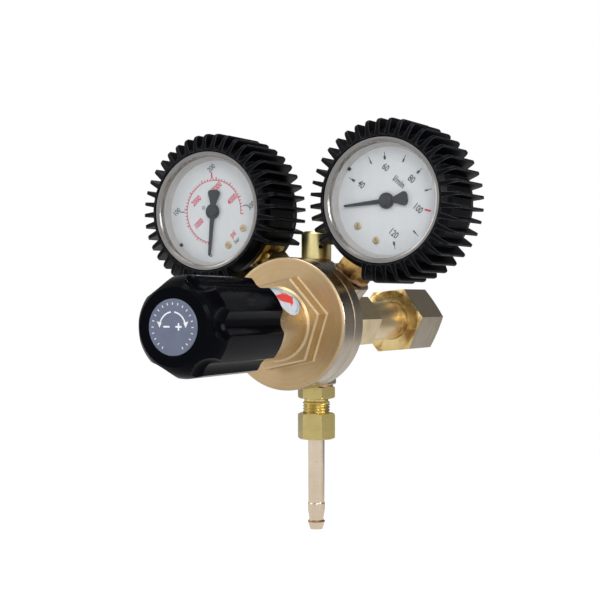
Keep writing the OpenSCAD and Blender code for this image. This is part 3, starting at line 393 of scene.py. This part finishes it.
# The bonnet's round faces, its neck and its hexagon's flats, are a lighter, paler brass than its flat faces:
# a painted highlight. Its edges are a little lighter too, partly a painted highlight.
bonnet_brass = turned_metal(
    "bonnet_brass", (0.60, 0.435, 0.245), (0.50, 0.355, 0.19), (0.86, 0.70, 0.46), roughness=0.36,
    sides=(0.74, 0.59, 0.38), side_roughness=0.24, rim=(0.52, 0.45, 0.36), wear_and_highlight=0.2)
finish("bonnet", bonnet_brass)


# Neck sticker
# A round paper label on the neck's upper right: white, with two blue edge arcs and a red arrow between them.
# Paper and inks are thin shells on the brass.
NECK_R = 0.0165
STICKER_Y = -0.1705
STICKER_TURN = math.radians(40)
STICKER_R_MM = 10.1
PAPER_GAP = 0.00002
PAPER_T = 0.00008
INK_T = 0.00003


def outward_mesh(name, mesh, placing=Matrix.Identity(4)):
    """Mesh data from a bmesh, with its faces turned outwards, moved to its place."""
    bmesh.ops.recalc_face_normals(mesh, faces=mesh.faces)
    mesh.transform(placing)
    data = bpy.data.meshes.new(name)
    mesh.to_mesh(data)
    mesh.free()
    return data


def new_piece(name, data, material):
    """A piece of the visual model, in one material."""
    data.materials.clear()
    data.materials.append(material)
    piece = bpy.data.objects.new(name, data)
    scene.collection.objects.link(piece)
    return piece


def wrapped_strip(name, first, second, rows, lift, thickness, material):
    """A closed thin shell round the neck, between two lines of points in millimetres (along, around)."""
    mesh = bmesh.new()
    sheets = []
    for height in (NECK_R + lift, NECK_R + lift + thickness):
        sheet = []
        for row in range(rows + 1):
            line = []
            for start, end in zip(first, second):
                along_mm, around_mm = (s + (e - s) * row / rows for s, e in zip(start, end))
                turn = STICKER_TURN + around_mm / 1000 / NECK_R
                point = (height * math.sin(turn), STICKER_Y + along_mm / 1000, height * math.cos(turn))
                line.append(mesh.verts.new(point))
            sheet.append(line)
        sheets.append(sheet)
    count = len(first)
    for sheet in sheets:
        for row in range(rows):
            for k in range(count - 1):
                mesh.faces.new((sheet[row][k], sheet[row][k + 1], sheet[row + 1][k + 1], sheet[row + 1][k]))
    lower, upper = sheets
    for k in range(count - 1):
        for row in (0, rows):
            mesh.faces.new((lower[row][k], lower[row][k + 1], upper[row][k + 1], upper[row][k]))
    for row in range(rows):
        for k in (0, count - 1):
            mesh.faces.new((lower[row][k], lower[row + 1][k], upper[row + 1][k], upper[row][k]))
    piece = new_piece(name, outward_mesh(name, mesh), material)
    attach(piece, "regulator")


def arc(radius, start, end, steps=32):
    """Points in millimetres on a circle, between two angles in degrees."""
    angles = [math.radians(start + (end - start) * k / steps) for k in range(steps + 1)]
    return [(radius * math.cos(a), radius * math.sin(a)) for a in angles]


def ink(name, colour, faded, roughness=0.5):
    """Printing ink or paint: an uneven coat that has faded in patches."""
    made, tree, shader = new_material(name)
    patch = noise(tree, own_place(tree), 260.0, 4.0, 0.6)
    skin = blend(tree, remap(tree, patch, 0.35, 0.72), colour, faded)
    tree.links.new(skin, shader.inputs["Base Color"])
    rough = remap(tree, patch, 0.3, 0.7, roughness - 0.05, roughness + 0.08)
    tree.links.new(rough, shader.inputs["Roughness"])
    return made


sticker_paper = ink("sticker_paper", (0.43, 0.44, 0.48), (0.35, 0.37, 0.42), 0.5)
sticker_blue = ink("sticker_blue", (0.09, 0.27, 0.40), (0.13, 0.32, 0.45), 0.45)
sticker_red = ink("sticker_red", (0.52, 0.022, 0.018), (0.46, 0.035, 0.03), 0.45)
half = arc(STICKER_R_MM, 3, 177, 40)
other_half = [(x, -y) for x, y in half]
wrapped_strip("sticker_disc", other_half, half, rows=20, lift=PAPER_GAP, thickness=PAPER_T,
              material=sticker_paper)
for name, inner, outer, start, end in (
        ("sticker_arc_upper", 6.9, 9.4, 215, 325),
        ("sticker_arc_right", 8.7, 9.4, -15, 75)):
    wrapped_strip(name, arc(inner, start, end), arc(outer, start, end), rows=3, lift=PAPER_GAP + PAPER_T,
                  thickness=INK_T, material=sticker_blue)
arrow_low = [(-6.5, -0.4), (-2.0, -1.2), (1.6, -1.8), (2.4, -4.4), (5.4, -2.4), (8.0, 0.5)]
arrow_high = [(-6.5, 2.6), (-3.0, 3.6), (0.8, 4.2), (1.2, 6.0), (4.6, 3.8), (8.0, 0.9)]
wrapped_strip("sticker_arrow", arrow_low, arrow_high, rows=6, lift=PAPER_GAP + PAPER_T, thickness=INK_T,
              material=sticker_red)


# Body
# A brass forging with a turned disc, a hub and four bosses for the gauges, the relief valve and the outlet.
# The disc is turned with the bonnet. What lies behind it is brown in patches.
BROWN_FROM = -0.1262
BROWN_BY = -0.1240


def overlay(material, share, colour):
    """Lays a colour over a material's own, by a share that varies over the surface."""
    tree = material.node_tree
    base = tree.nodes["Principled BSDF"].inputs["Base Color"]
    tree.links.new(blend(tree, share, base.links[0].from_socket, colour), base)


def brown_patches(material, start, end, strength, colour=(0.33, 0.15, 0.035)):
    """Brown patches that come up between two stations along the main axis."""
    tree = material.node_tree
    here = own_place(tree)
    near = remap(tree, along_axis(tree, here, "Y"), start, end)
    patches = remap(tree, noise(tree, here, 130.0, 2.0, 0.5, 0.6), 0.47, 0.60, 0.0, strength)
    overlay(material, maths(tree, "MULTIPLY", near, patches), colour)


body_brass = turned_metal(
    "body_brass", (0.50, 0.38, 0.23), (0.38, 0.285, 0.17), (0.13, 0.10, 0.065), roughness=0.34,
    sides=(0.48, 0.37, 0.23), side_roughness=0.28, rim=(0.52, 0.45, 0.36))
brown_patches(body_brass, BROWN_FROM, BROWN_BY, strength=0.5, colour=(0.17, 0.09, 0.035))
finish("body", body_brass)


# Diaphragm parts
# A steel slip ring and a black rubber diaphragm are clamped between bonnet and body. A brass plate with a
# boss for the main spring lies on the diaphragm.
def rubber(name, colour, edge_highlight, roughness):
    """Moulded rubber: a fine grain, cloudy bloom, and edges painted paler as a highlight."""
    made, tree, shader = new_material(name)
    here = own_place(tree)
    edge_mask = use(tree, edge_patches, Width=0.0006, Break_up=260.0)["Edge"]
    patch = noise(tree, here, 45.0, 4.0, 0.6)
    tone = blend(tree, remap(tree, patch, 0.35, 0.75), colour, shaded(colour, 0.6))
    # Painted highlight: edges are lifted towards the paler colour.
    tone = blend(tree, maths(tree, "MULTIPLY", edge_mask, 0.65), tone, edge_highlight)
    tree.links.new(tone, shader.inputs["Base Color"])
    rough = remap(tree, patch, 0.3, 0.7, roughness - 0.06, roughness + 0.08)
    rough = maths(tree, "SUBTRACT", rough, maths(tree, "MULTIPLY", edge_mask, 0.1))
    tree.links.new(rough, shader.inputs["Roughness"])
    shader.inputs["Specular IOR Level"].default_value = 0.08
    grain = noise(tree, here, 2600.0)
    bump = node(tree, "ShaderNodeBump", {"Height": grain, "Strength": 0.25, "Distance": 0.00006})
    tree.links.new(bump.outputs[0], shader.inputs["Normal"])
    return made


steel = turned_metal("steel", (0.56, 0.56, 0.55), (0.44, 0.43, 0.42), (0.75, 0.75, 0.74), roughness=0.32)
seal_rubber = rubber("seal_rubber", (0.02, 0.02, 0.021), (0.06, 0.06, 0.06), 0.5)
finish("slip_ring", steel)
finish("diaphragm", seal_rubber)
finish("diaphragm_plate", bonnet_brass)


# Adjusting gear
# The knob turns a steel screw, whose tip pushes the spring seat and the main spring against the diaphragm
# plate. The spring closes up between them as the screw goes in.
def closing_spring(source):
    """A copy of a packed spring in its place, fixed to the regulator, with the packed one hidden."""
    piece = new_piece(f"{source}_coil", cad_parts[source].data.copy(), steel)
    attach(piece, "regulator")
    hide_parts(source)
    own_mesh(piece)


finish("spring_seat adjusting_screw knob_screw", steel)
closing_spring("main_spring")


# Knob
# A glossy black moulded cap with six finger grooves that end in scoops behind its round shoulder. A screw
# under its label holds it on the adjusting screw.
knob_plastic, tree, shader = new_material("knob_plastic")
here = own_place(tree)
marks = use(tree, handling, Scale=45.0)
edge_mask = use(tree, edge_patches, Width=0.0006, Break_up=300.0)["Edge"]
tone = blend(tree, maths(tree, "MULTIPLY", edge_mask, 0.4), (0.0012, 0.0012, 0.0020), (0.008, 0.009, 0.012))
tree.links.new(tone, shader.inputs["Base Color"])
rough = maths(tree, "ADD", 0.13, maths(tree, "MULTIPLY", marks["Smudge"], 0.08))
rough = maths(tree, "ADD", rough, maths(tree, "MULTIPLY", marks["Scratch"], 0.12))
tree.links.new(rough, shader.inputs["Roughness"])
shader.inputs["Specular IOR Level"].default_value = 0.04
shader.inputs["Specular Tint"].default_value = (0.80, 0.92, 1.0, 1)
ripple = noise(tree, here, 420.0)
bump = node(tree, "ShaderNodeBump", {"Height": ripple, "Strength": 0.1, "Distance": 0.0001})
tree.links.new(bump.outputs[0], shader.inputs["Normal"])
finish("knob", knob_plastic)


# Knob label
# A printed disc let into the knob's face: slate blue, with a ring of marks, two turning arrows, a plus and a
# minus. The disc stands back by the thickness of the white ink, whose foot is sunk into it.
PRINT_DEPTH = 0.00003
PRINT_FOOT_MM = 0.05
ARROW_HEAD = ((7.5, 2.4), (5.2, 1.8), (6.3, -0.2))
SIGN_X = 2.9
SIGN_Z = 0.2
SIGN_L = 3.0
SIGN_W = 0.7
PLUS_ARM_L = 1.15
PLUS_ARM_SHIFT = 0.93
label_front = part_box("knob_label")[0].y
label_slate = ink("label_slate", (0.110, 0.128, 0.190), (0.095, 0.110, 0.165), 0.36)
disc = new_piece("knob_label_disc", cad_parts["knob_label"].data.copy(), label_slate)
for corner in disc.data.vertices:
    if corner.co.y < label_front + PRINT_DEPTH:
        corner.co.y += PRINT_DEPTH
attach(disc, "knob_and_screw")
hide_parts("knob_label")


def flat_print(name, shapes, words, placing, front, back, body, material):
    """Closed flat shapes as one piece between two depths, in millimetres, of a frame that looks along its y.

    Each shape is an outline, and each word a list of points and a list of triangles.
    """
    mesh = bmesh.new()
    for points, faces in [(outline, [tuple(range(len(outline)))]) for outline in shapes] + words:
        near = [mesh.verts.new((x / 1000, front / 1000, z / 1000)) for x, z in points]
        rear = [mesh.verts.new((x / 1000, back / 1000, z / 1000)) for x, z in points]
        sides = {}
        for face in faces:
            mesh.faces.new([near[k] for k in face])
            mesh.faces.new([rear[k] for k in reversed(face)])
            sides.update({pair: True for pair in zip(face, face[1:] + face[:1])})
        for k, following in sides:
            if (following, k) not in sides:
                mesh.faces.new((near[following], near[k], rear[k], rear[following]))
    piece = new_piece(name, outward_mesh(name, mesh, placing), material)
    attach(piece, body)


def bar_at(x, z, width, height, turn=0):
    """The outline of a bar with its middle at a point, turned clockwise by degrees."""
    a = math.radians(turn)
    cosine, sine = math.cos(a), math.sin(a)
    corners = [(u * width / 2, v * height / 2) for u, v in ((-1, -1), (1, -1), (1, 1), (-1, 1))]
    return [(x + u * cosine + v * sine, z - u * sine + v * cosine) for u, v in corners]


def spoke(radius, clock, length, width):
    """A bar along the radius at a clock angle in degrees from the top, with its middle at that radius."""
    a = math.radians(clock)
    return bar_at(radius * math.sin(a), radius * math.cos(a), width, length, clock)


def band(inner, outer, start, end, steps=48):
    """Part of a flat ring between two clock angles."""
    return arc(outer, 90 - start, 90 - end, steps) + arc(inner, 90 - end, 90 - start, steps)


label_white = ink("label_white", (0.74, 0.75, 0.78), (0.62, 0.64, 0.68), 0.4)
label_marks = [spoke(9.6, clock, length=1.0, width=0.35) for clock in range(-150, 151, 15)]
for side in (-1, 1):
    label_marks.append([(side * x, z) for x, z in band(inner=5.9, outer=6.5, start=8, end=72)])
    label_marks.append([(side * x, z) for x, z in ARROW_HEAD])
    label_marks.append(bar_at(side * SIGN_X, SIGN_Z, SIGN_L, SIGN_W))
    label_marks.append(bar_at(SIGN_X, SIGN_Z + side * PLUS_ARM_SHIFT, SIGN_W, PLUS_ARM_L))
flat_print("label_marks", label_marks, [], Matrix.Translation((0, label_front, 0)),
           0.0, PRINT_FOOT_MM, "knob_and_screw", label_white)


# Reducing valve
# The brass nozzle, poppet and housing with the steel pin and spring sit in the body behind the diaphragm.
# The spring closes up as the pin pushes the poppet off the nozzle.
valve_brass = turned_metal(
    "valve_brass", (0.78, 0.58, 0.25), (0.62, 0.45, 0.18), (0.9, 0.72, 0.38), roughness=0.24)
finish("nozzle poppet valve_housing", valve_brass)
finish("valve_pin", steel)
closing_spring("valve_spring")


# Inlet nipple
# Turned from brass hexagon bar, with bright ends and satin sides that are brown in patches near the nut. A
# copper washer seals it, and its nose has a sintered filter and an O-ring.
nipple_brass = turned_metal(
    "nipple_brass", (0.84, 0.68, 0.40), (0.70, 0.54, 0.28), (0.92, 0.78, 0.48), roughness=0.16,
    sides=(0.84, 0.68, 0.42), side_roughness=0.30)
brown_patches(nipple_brass, start=-0.046, end=-0.034, strength=0.9)
finish("inlet_nipple", nipple_brass)
bronze = turned_metal("bronze", (0.45, 0.32, 0.17), (0.34, 0.24, 0.12), (0.66, 0.50, 0.28), roughness=0.38)
copper = turned_metal("copper", (0.56, 0.33, 0.21), (0.42, 0.23, 0.14), (0.74, 0.48, 0.34), roughness=0.36)
finish("nipple_washer", copper)
finish("filter", bronze)
finish("inlet_seal", seal_rubber)


# Inlet nut
# The loose hexagon nut that clamps the stem to the cylinder valve. Its bore carries the thread, its front
# rim is brown in patches, and its flats are painted a dull grey-brown as shade.
WALL_TOLERANCE = 0.00003
WELD_DISTANCE = 0.000002
ROWS_PER_TURN = 12
RUN_OUT_TURNS = 0.7
GROOVE_SLOPE = 1.3
CREST_SHARE = 0.15
SHARP_ANGLE = math.radians(28)
MAIN_AXIS = Matrix.Rotation(math.radians(-90), 4, "X")


def groove_share(phase):
    """How deep a thread's groove is at a phase of its turn, from 0 on the crest to 1 at the root."""
    return min(1.0, max(0.0, GROOVE_SLOPE * (1 - abs(2 * phase - 1)) - CREST_SHARE))


def cut_thread(source, name, axis, radius, low, high, pitch, depth, body, material):
    """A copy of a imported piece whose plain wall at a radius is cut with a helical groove.

    axis is the frame whose z runs along the wall. A positive depth cuts towards the axis, a negative one away
    from it. The groove runs out at both ends of the wall.
    """
    def on_wall(v):
        """Whether a point of the mesh belongs to the plain wall."""
        at_radius = abs(math.hypot(v.co.x, v.co.y) - radius) < WALL_TOLERANCE
        return at_radius and low - WALL_TOLERANCE < v.co.z < high + WALL_TOLERANCE

    mesh = bmesh.new()
    mesh.from_mesh(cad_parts[source].data)
    mesh.transform(axis.inverted())
    bmesh.ops.remove_doubles(mesh, verts=mesh.verts, dist=WELD_DISTANCE)
    wall = [face for face in mesh.faces if all(on_wall(v) for v in face.verts)]
    bmesh.ops.delete(mesh, geom=wall, context="FACES")
    rims = []
    for level in (low, high):
        open_edges = [edge for edge in mesh.edges if len(edge.link_faces) == 1]
        rim = {v for edge in open_edges for v in edge.verts if abs(v.co.z - level) < WALL_TOLERANCE}
        rims.append(sorted(rim, key=lambda v: math.atan2(v.co.y, v.co.x)))
    rows = round((high - low) / pitch * ROWS_PER_TURN)
    run_out = pitch * RUN_OUT_TURNS
    grid = [rims[0]]
    for row in range(1, rows):
        z = low + (high - low) * row / rows
        ease = min(1.0, (z - low) / run_out, (high - z) / run_out)
        ring = []
        for start in rims[0]:
            turn = math.atan2(start.co.y, start.co.x)
            r = radius - depth * groove_share((z / pitch - turn / math.tau) % 1.0) * ease
            ring.append(mesh.verts.new((r * math.cos(turn), r * math.sin(turn), z)))
        grid.append(ring)
    grid.append(rims[1])
    count = len(rims[0])
    for lower, upper in zip(grid, grid[1:]):
        for k in range(count):
            mesh.faces.new((lower[k], lower[(k + 1) % count], upper[(k + 1) % count], upper[k]))
    data = outward_mesh(name, mesh, axis)
    if "custom_normal" in data.attributes:
        data.attributes.remove(data.attributes["custom_normal"])
    data.shade_smooth()
    data.set_sharp_from_angle(angle=SHARP_ANGLE)
    piece = new_piece(name, data, material)
    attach(piece, body)
    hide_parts(source)


# The flats are painted a dull grey-brown: painted shade, for the dark that they mirror.
nut_brass = turned_metal(
    "nut_brass", (0.86, 0.68, 0.34), (0.72, 0.50, 0.18), (0.92, 0.78, 0.48), roughness=0.20,
    sides=(0.49, 0.42, 0.325), side_roughness=0.38)
brown_patches(nut_brass, start=-0.0296, end=-0.0310, strength=0.7)
cut_thread("inlet_nut", "inlet_nut_threaded", MAIN_AXIS, radius=0.01206, low=-0.0132, high=0.0,
           pitch=0.001814, depth=-0.00105, body="nut_inlet", material=nut_brass)


# Outlet adapter
# Olive brass turned from hexagon bar, with the pipe thread that the outlet nut runs on. A copper washer seals
# it, and a small brass orifice sits in its bore.
PORT_Y = -0.1176
PORT_DOWN = Matrix.Translation((0, PORT_Y, 0)) @ Matrix.Rotation(math.pi, 4, "Y")
olive_brass = turned_metal(
    "olive_brass", (0.68, 0.54, 0.20), (0.57, 0.44, 0.15), (0.86, 0.76, 0.42), roughness=0.28,
    centre=(0, PORT_Y, 0), axis=(0, 0, 1), sides=(0.68, 0.55, 0.22))
finish("outlet_washer", copper)
finish("orifice", valve_brass)
cut_thread("outlet_adapter", "outlet_adapter_threaded", PORT_DOWN, radius=0.00658, low=0.0384, high=0.0492,
           pitch=0.001337, depth=0.0006, body="regulator", material=olive_brass)


# Outlet nut and hose tail
# The nut clamps the tail's collar to the adapter. The tail is paler turned brass, and its tip wears a
# rust-orange ring.
RUST_LOW = -0.0960
RUST_HIGH = -0.0952
RUST_FADE = 0.0002
finish("outlet_nut", olive_brass)
pale_brass = turned_metal(
    "pale_brass", (0.82, 0.69, 0.54), (0.72, 0.59, 0.44), (0.92, 0.84, 0.72), roughness=0.17,
    centre=(0, PORT_Y, 0), axis=(0, 0, 1))
tree = pale_brass.node_tree
height = along_axis(tree, own_place(tree), "Z")
below_top = remap(tree, height, RUST_HIGH - RUST_FADE, RUST_HIGH, 1, 0)
above_foot = remap(tree, height, RUST_LOW, RUST_LOW + RUST_FADE, 0, 1)
rust = maths(tree, "MULTIPLY", below_top, above_foot)
overlay(pale_brass, maths(tree, "MULTIPLY", rust, 0.85), (0.46, 0.16, 0.06))
finish("hose_barb", pale_brass)


# Relief valve
# A round satin brass cup on top of the body, with vent holes, a poppet, a spring and a slotted plug. The
# spring closes up as gas lifts the poppet off its seat.
relief_brass = turned_metal(
    "relief_brass", (0.99, 0.87, 0.44), (0.92, 0.72, 0.28), (0.98, 0.90, 0.62), roughness=0.34,
    centre=(0, PORT_Y, 0), axis=(0, 0, 1))
finish("relief_washer", copper)
finish("relief_body relief_screw", relief_brass)
finish("relief_poppet", steel)
closing_spring("relief_spring")


# Gauge cases, bezels, dials and movements
# Two gauges lean outwards on their stems: brass cases and movements, plated steel bezels, bronze tubes and
# white dials. The rear edges of the case walls are painted near black as shade, the flow stem is painted dark
# brown as shade, and both stems are brown in patches.
GAUGES = {}
for gauge in ("pressure", "flow"):
    low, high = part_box(f"{gauge}_bezel")
    x, z = (low.x + high.x) / 2, (low.z + high.z) / 2
    GAUGES[gauge] = (x, z, math.degrees(math.atan2(x, z)))
# The flow stem's colours are dark browns: painted shade, for the dark that its socket mirrors.
STEM_COLOURS = {
    "pressure": ((0.80, 0.64, 0.33), (0.66, 0.50, 0.23)),
    "flow": ((0.44, 0.29, 0.10), (0.22, 0.12, 0.04)),
}
STEM_PATCHES = {"pressure": 0.1, "flow": 0.9}
REAR_SHADE_FROM = -0.1140
REAR_SHADE_BY = -0.1134
dial_paint = ink("dial_paint", (0.65, 0.665, 0.68), (0.62, 0.635, 0.65), 0.5)
pointer_paint = ink("pointer_paint", (0.016, 0.020, 0.024), (0.028, 0.034, 0.040), 0.42)
spacer_plastic = ink("spacer_plastic", (0.46, 0.44, 0.425), (0.40, 0.385, 0.37), 0.3)
for gauge, (x, z, lean) in GAUGES.items():
    bezel_steel = turned_metal(
        f"{gauge}_bezel_steel", (0.32, 0.305, 0.295), (0.25, 0.24, 0.23), (0.58, 0.56, 0.54),
        roughness=0.20, centre=(x, 0, z))
    case_brass = turned_metal(
        f"{gauge}_case_brass", (0.64, 0.50, 0.25), (0.52, 0.40, 0.19), (0.86, 0.72, 0.44),
        roughness=0.20, centre=(x, 0, z))
    # The rear edge of the case's wall is painted near black: painted shade.
    tree = case_brass.node_tree
    rear = remap(tree, along_axis(tree, own_place(tree), "Y"), REAR_SHADE_FROM, REAR_SHADE_BY)
    flat_end = use(tree, turned_lines, Centre=(x, 0, z), Axis=(0, 1, 0))["End"]
    rear_shade = maths(tree, "MULTIPLY", rear, maths(tree, "SUBTRACT", 1.0, flat_end))
    overlay(case_brass, rear_shade, (0.012, 0.011, 0.010))
    stem = (math.sin(math.radians(lean)), 0, math.cos(math.radians(lean)))
    stem_brass = turned_metal(
        f"{gauge}_stem_brass", *STEM_COLOURS[gauge], (0.80, 0.64, 0.34), roughness=0.24,
        centre=(0, PORT_Y, 0), axis=stem)
    # Both stations lie in front of the stem, so that brown patches cover the whole of it.
    brown_patches(stem_brass, start=-0.2, end=-0.19, strength=STEM_PATCHES[gauge], colour=(0.10, 0.040, 0.012))
    finish(f"{gauge}_bezel", bezel_steel)
    finish(f"{gauge}_case", case_brass)
    finish(f"{gauge}_arbor {gauge}_movement {gauge}_sector", valve_brass)
    finish(f"{gauge}_link", steel)
    finish(f"{gauge}_tube", bronze)
    finish(f"{gauge}_washer", copper)
    finish(f"{gauge}_socket", stem_brass)
    finish(f"{gauge}_spacer", spacer_plastic)
    finish(f"{gauge}_dial", dial_paint)
    finish(f"{gauge}_pointer", pointer_paint)


# Gauge windows
# Clear discs of plate glass under the bezels. Straight through they only dim the light a little, and they
# mirror the room more as they are seen more from the side. Only the faces turned to the eye mirror.
window_glass, tree = bare_material("window_glass")
haze = noise(tree, own_place(tree), 120.0, 4.0, 0.6)
clear = node(tree, "ShaderNodeBsdfTransparent", {"Color": (0.965, 0.972, 0.975, 1)})
rough = remap(tree, haze, 0.3, 0.7, 0.02, 0.07)
gloss = node(tree, "ShaderNodeBsdfAnisotropic", {"Color": WHITE, "Roughness": rough})
edge_on = node(tree, "ShaderNodeFresnel", {"IOR": 1.45}).outputs[0]
outside = maths(tree, "SUBTRACT", 1.0, node(tree, "ShaderNodeNewGeometry").outputs["Backfacing"])
share = maths(tree, "MULTIPLY", edge_on, remap(tree, haze, 0.3, 0.7, 0.9, 1.1))
share = maths(tree, "MULTIPLY", share, outside)
surface = node(tree, "ShaderNodeMixShader", {0: share, 1: clear.outputs[0], 2: gloss.outputs[0]})
node(tree, "ShaderNodeOutputMaterial", {"Surface": surface.outputs[0]})
finish("pressure_window flow_window", window_glass)


# Dial printing
# Scales and figures, each ink in one thin coat: black and red with a grey mark on the pressure gauge, black
# with a red mark on the flow gauge. Places are clock angles in degrees and radii in millimetres.
BEZEL_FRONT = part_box("pressure_bezel")[0].y
COAT_TOP = 7.36
COAT_FOOT = 7.395
FONT_PER_HEIGHT = 1.38
BAR_LINES = (225, 310.7, 122)
BAR_FIGURES = (("0", 225), ("100", 310.7), ("200", 36.4), ("300", 124))
PSI_FIGURES = (("1000", 276, 10.2), ("2000", 339, 11.2), ("3000", 49, 11.9), ("4000", 102, 11.8),
               ("psi", 175.6, 15.5))
PSI_START = 225
PSI_STEP = 6
PSI_STEPS = 45
FLOW_LINES = ((260.5, 1.1), (295.4, 0.7), (316.5, 1.1), (344.1, 0.7), (10.9, 1.1), (38, 0.7), (97, 0.7),
              (130, 1.1))
FLOW_FIGURES = (("40", 261, 15.2), ("60", 317, 15.2), ("80", 12, 15.2), ("100", 64.5, 15.6),
                ("120", 128, 15.2))


def figures(word, clock, radius, height, squeeze=0.8, bold=0.05):
    """The points and triangles of a word, in millimetres, with its middle at a clock angle and a radius."""
    curve = bpy.data.curves.new("figures", "FONT")
    curve.body = word
    curve.align_x = "CENTER"
    curve.align_y = "CENTER"
    curve.size = height * FONT_PER_HEIGHT
    curve.resolution_u = 3
    curve.offset = bold
    holder = bpy.data.objects.new("figures", curve)
    flat = bpy.data.meshes.new_from_object(holder)
    a = math.radians(clock)
    points = [(radius * math.sin(a) + v.co.x * squeeze, radius * math.cos(a) + v.co.y) for v in flat.vertices]
    faces = [tuple(face.vertices) for face in flat.polygons]
    bpy.data.objects.remove(holder)
    bpy.data.curves.remove(curve)
    bpy.data.meshes.remove(flat)
    return points, faces


def gauge_frame(gauge):
    """The frame of a gauge: x to its right, y back from its front face, z outwards along its stem."""
    x, z, lean = GAUGES[gauge]
    return Matrix.Translation((x, BEZEL_FRONT, z)) @ Matrix.Rotation(math.radians(lean), 4, "Y")


def dial_coat(gauge, name, shapes, words, material):
    """One coat of ink on a gauge's dial."""
    flat_print(name, shapes, words, gauge_frame(gauge), COAT_TOP, COAT_FOOT, "regulator",
               material)


print_black = ink("print_black", (0.045, 0.047, 0.052), (0.09, 0.094, 0.10), 0.5)
print_red = ink("print_red", (0.58, 0.028, 0.075), (0.60, 0.07, 0.12), 0.5)
print_grey = ink("print_grey", (0.30, 0.32, 0.35), (0.38, 0.40, 0.43), 0.5)

lines = [spoke(17.75, clock, length=2.5, width=0.45) for clock in BAR_LINES]
words = [figures(word, clock, radius=21.1, height=2.6) for word, clock in BAR_FIGURES]
words.append(figures("bar", clock=177.6, radius=19.3, height=2.2))
dial_coat("pressure", "pressure_scale_black", lines, words, print_black)
lines = [band(15.0, 15.35, PSI_START, PSI_START + PSI_STEP * PSI_STEPS, steps=96)]
for step in range(PSI_STEPS + 1):
    length, width = (1.5, 0.6) if step % 5 == 0 else (1.0, 0.45)
    lines.append(spoke(15.2 + length / 2, PSI_START + PSI_STEP * step, length, width))
lines.append(spoke(17.6, clock=36.4, length=3.0, width=0.8))
words = [figures(word, clock, radius, height=2.9, squeeze=0.72, bold=0.09)
         for word, clock, radius in PSI_FIGURES]
dial_coat("pressure", "pressure_scale_red", lines, words, print_red)
diamond = bar_at(-3.1, 5.2, width=1.9, height=1.9, turn=45)
dial_coat("pressure", "pressure_mark", [diamond], [], print_grey)

lines = []
for clock, width in FLOW_LINES:
    lines.append(spoke(20.9, clock, length=3.0, width=0.3))
    lines.append(spoke(19.7, clock, length=1.7, width=width))
words = [figures(word, clock, radius, height=3.2, squeeze=0.74, bold=0.08)
         for word, clock, radius in FLOW_FIGURES]
words.append(figures("l/min", clock=355, radius=10.2, height=3.0, bold=0.1))
dial_coat("flow", "flow_scale_black", lines, words, print_black)
dial_coat("flow", "flow_scale_red", [spoke(20.5, clock=63.8, length=3.2, width=0.9)], [], print_red)


# Dial screws and stops
# Each dial is held by two small slotted brass screws, and a black stop stands at the window's edge.
# Places are clock angles in degrees and radii in millimetres, as on the dials.
SCREW_PLACES = ((157, 18.6), (193, 18.4))
SCREW_PROFILE = ((1.8, 7.4), (1.8, 7.1), (1.45, 6.9), (0.8, 6.84))
SCREW_SIDES = 24
SLOT_TOP = 6.82
SLOT_FOOT = 6.9
STOP_TOP = 6.6
STOP_FOOT = 7.4
screw_brass = turned_metal(
    "screw_brass", (0.62, 0.49, 0.31), (0.54, 0.42, 0.26), (0.74, 0.60, 0.40), roughness=0.4)


def dial_screw(name, x, z, placing):
    """The head of a screw, as rings of one profile (radius, depth) round a place on the dial."""
    mesh = bmesh.new()
    rings = []
    for radius, depth in SCREW_PROFILE:
        circle = arc(radius, 0, 360 - 360 / SCREW_SIDES, SCREW_SIDES - 1)
        rings.append([mesh.verts.new(((x + u) / 1000, depth / 1000, (z + v) / 1000)) for u, v in circle])
    for lower, upper in zip(rings, rings[1:]):
        for k in range(SCREW_SIDES):
            following = (k + 1) % SCREW_SIDES
            mesh.faces.new((lower[k], lower[following], upper[following], upper[k]))
    mesh.faces.new(rings[0])
    mesh.faces.new(rings[-1])
    screw = new_piece(name, outward_mesh(name, mesh, placing), screw_brass)
    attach(screw, "regulator")


for gauge in GAUGES:
    placing = gauge_frame(gauge)
    for number, (clock, radius) in enumerate(SCREW_PLACES, 1):
        a = math.radians(clock)
        x, z = radius * math.sin(a), radius * math.cos(a)
        dial_screw(f"{gauge}_dial_screw_{number}", x, z, placing)
        slot_line = bar_at(x, z, width=2.3, height=0.3, turn=30 * number)
        flat_print(f"{gauge}_dial_slot_{number}", [slot_line], [], placing, SLOT_TOP, SLOT_FOOT,
                   "regulator", print_black)
    stop = spoke(24.4, clock=269, length=1.6, width=1.5)
    flat_print(f"{gauge}_stop", [stop], [], placing, STOP_TOP, STOP_FOOT,
               "regulator", pointer_paint)


# Gauge boots
# Moulded black rubber sleeves with tapered fins, pushed over the gauges and cut away for the stems. The
# edges are painted paler, a painted highlight such as rounded fin tips catch.
boot_rubber = rubber("boot_rubber", (0.0010, 0.0010, 0.0018), (0.085, 0.095, 0.115), 0.38)
finish("pressure_boot flow_boot", boot_rubber)
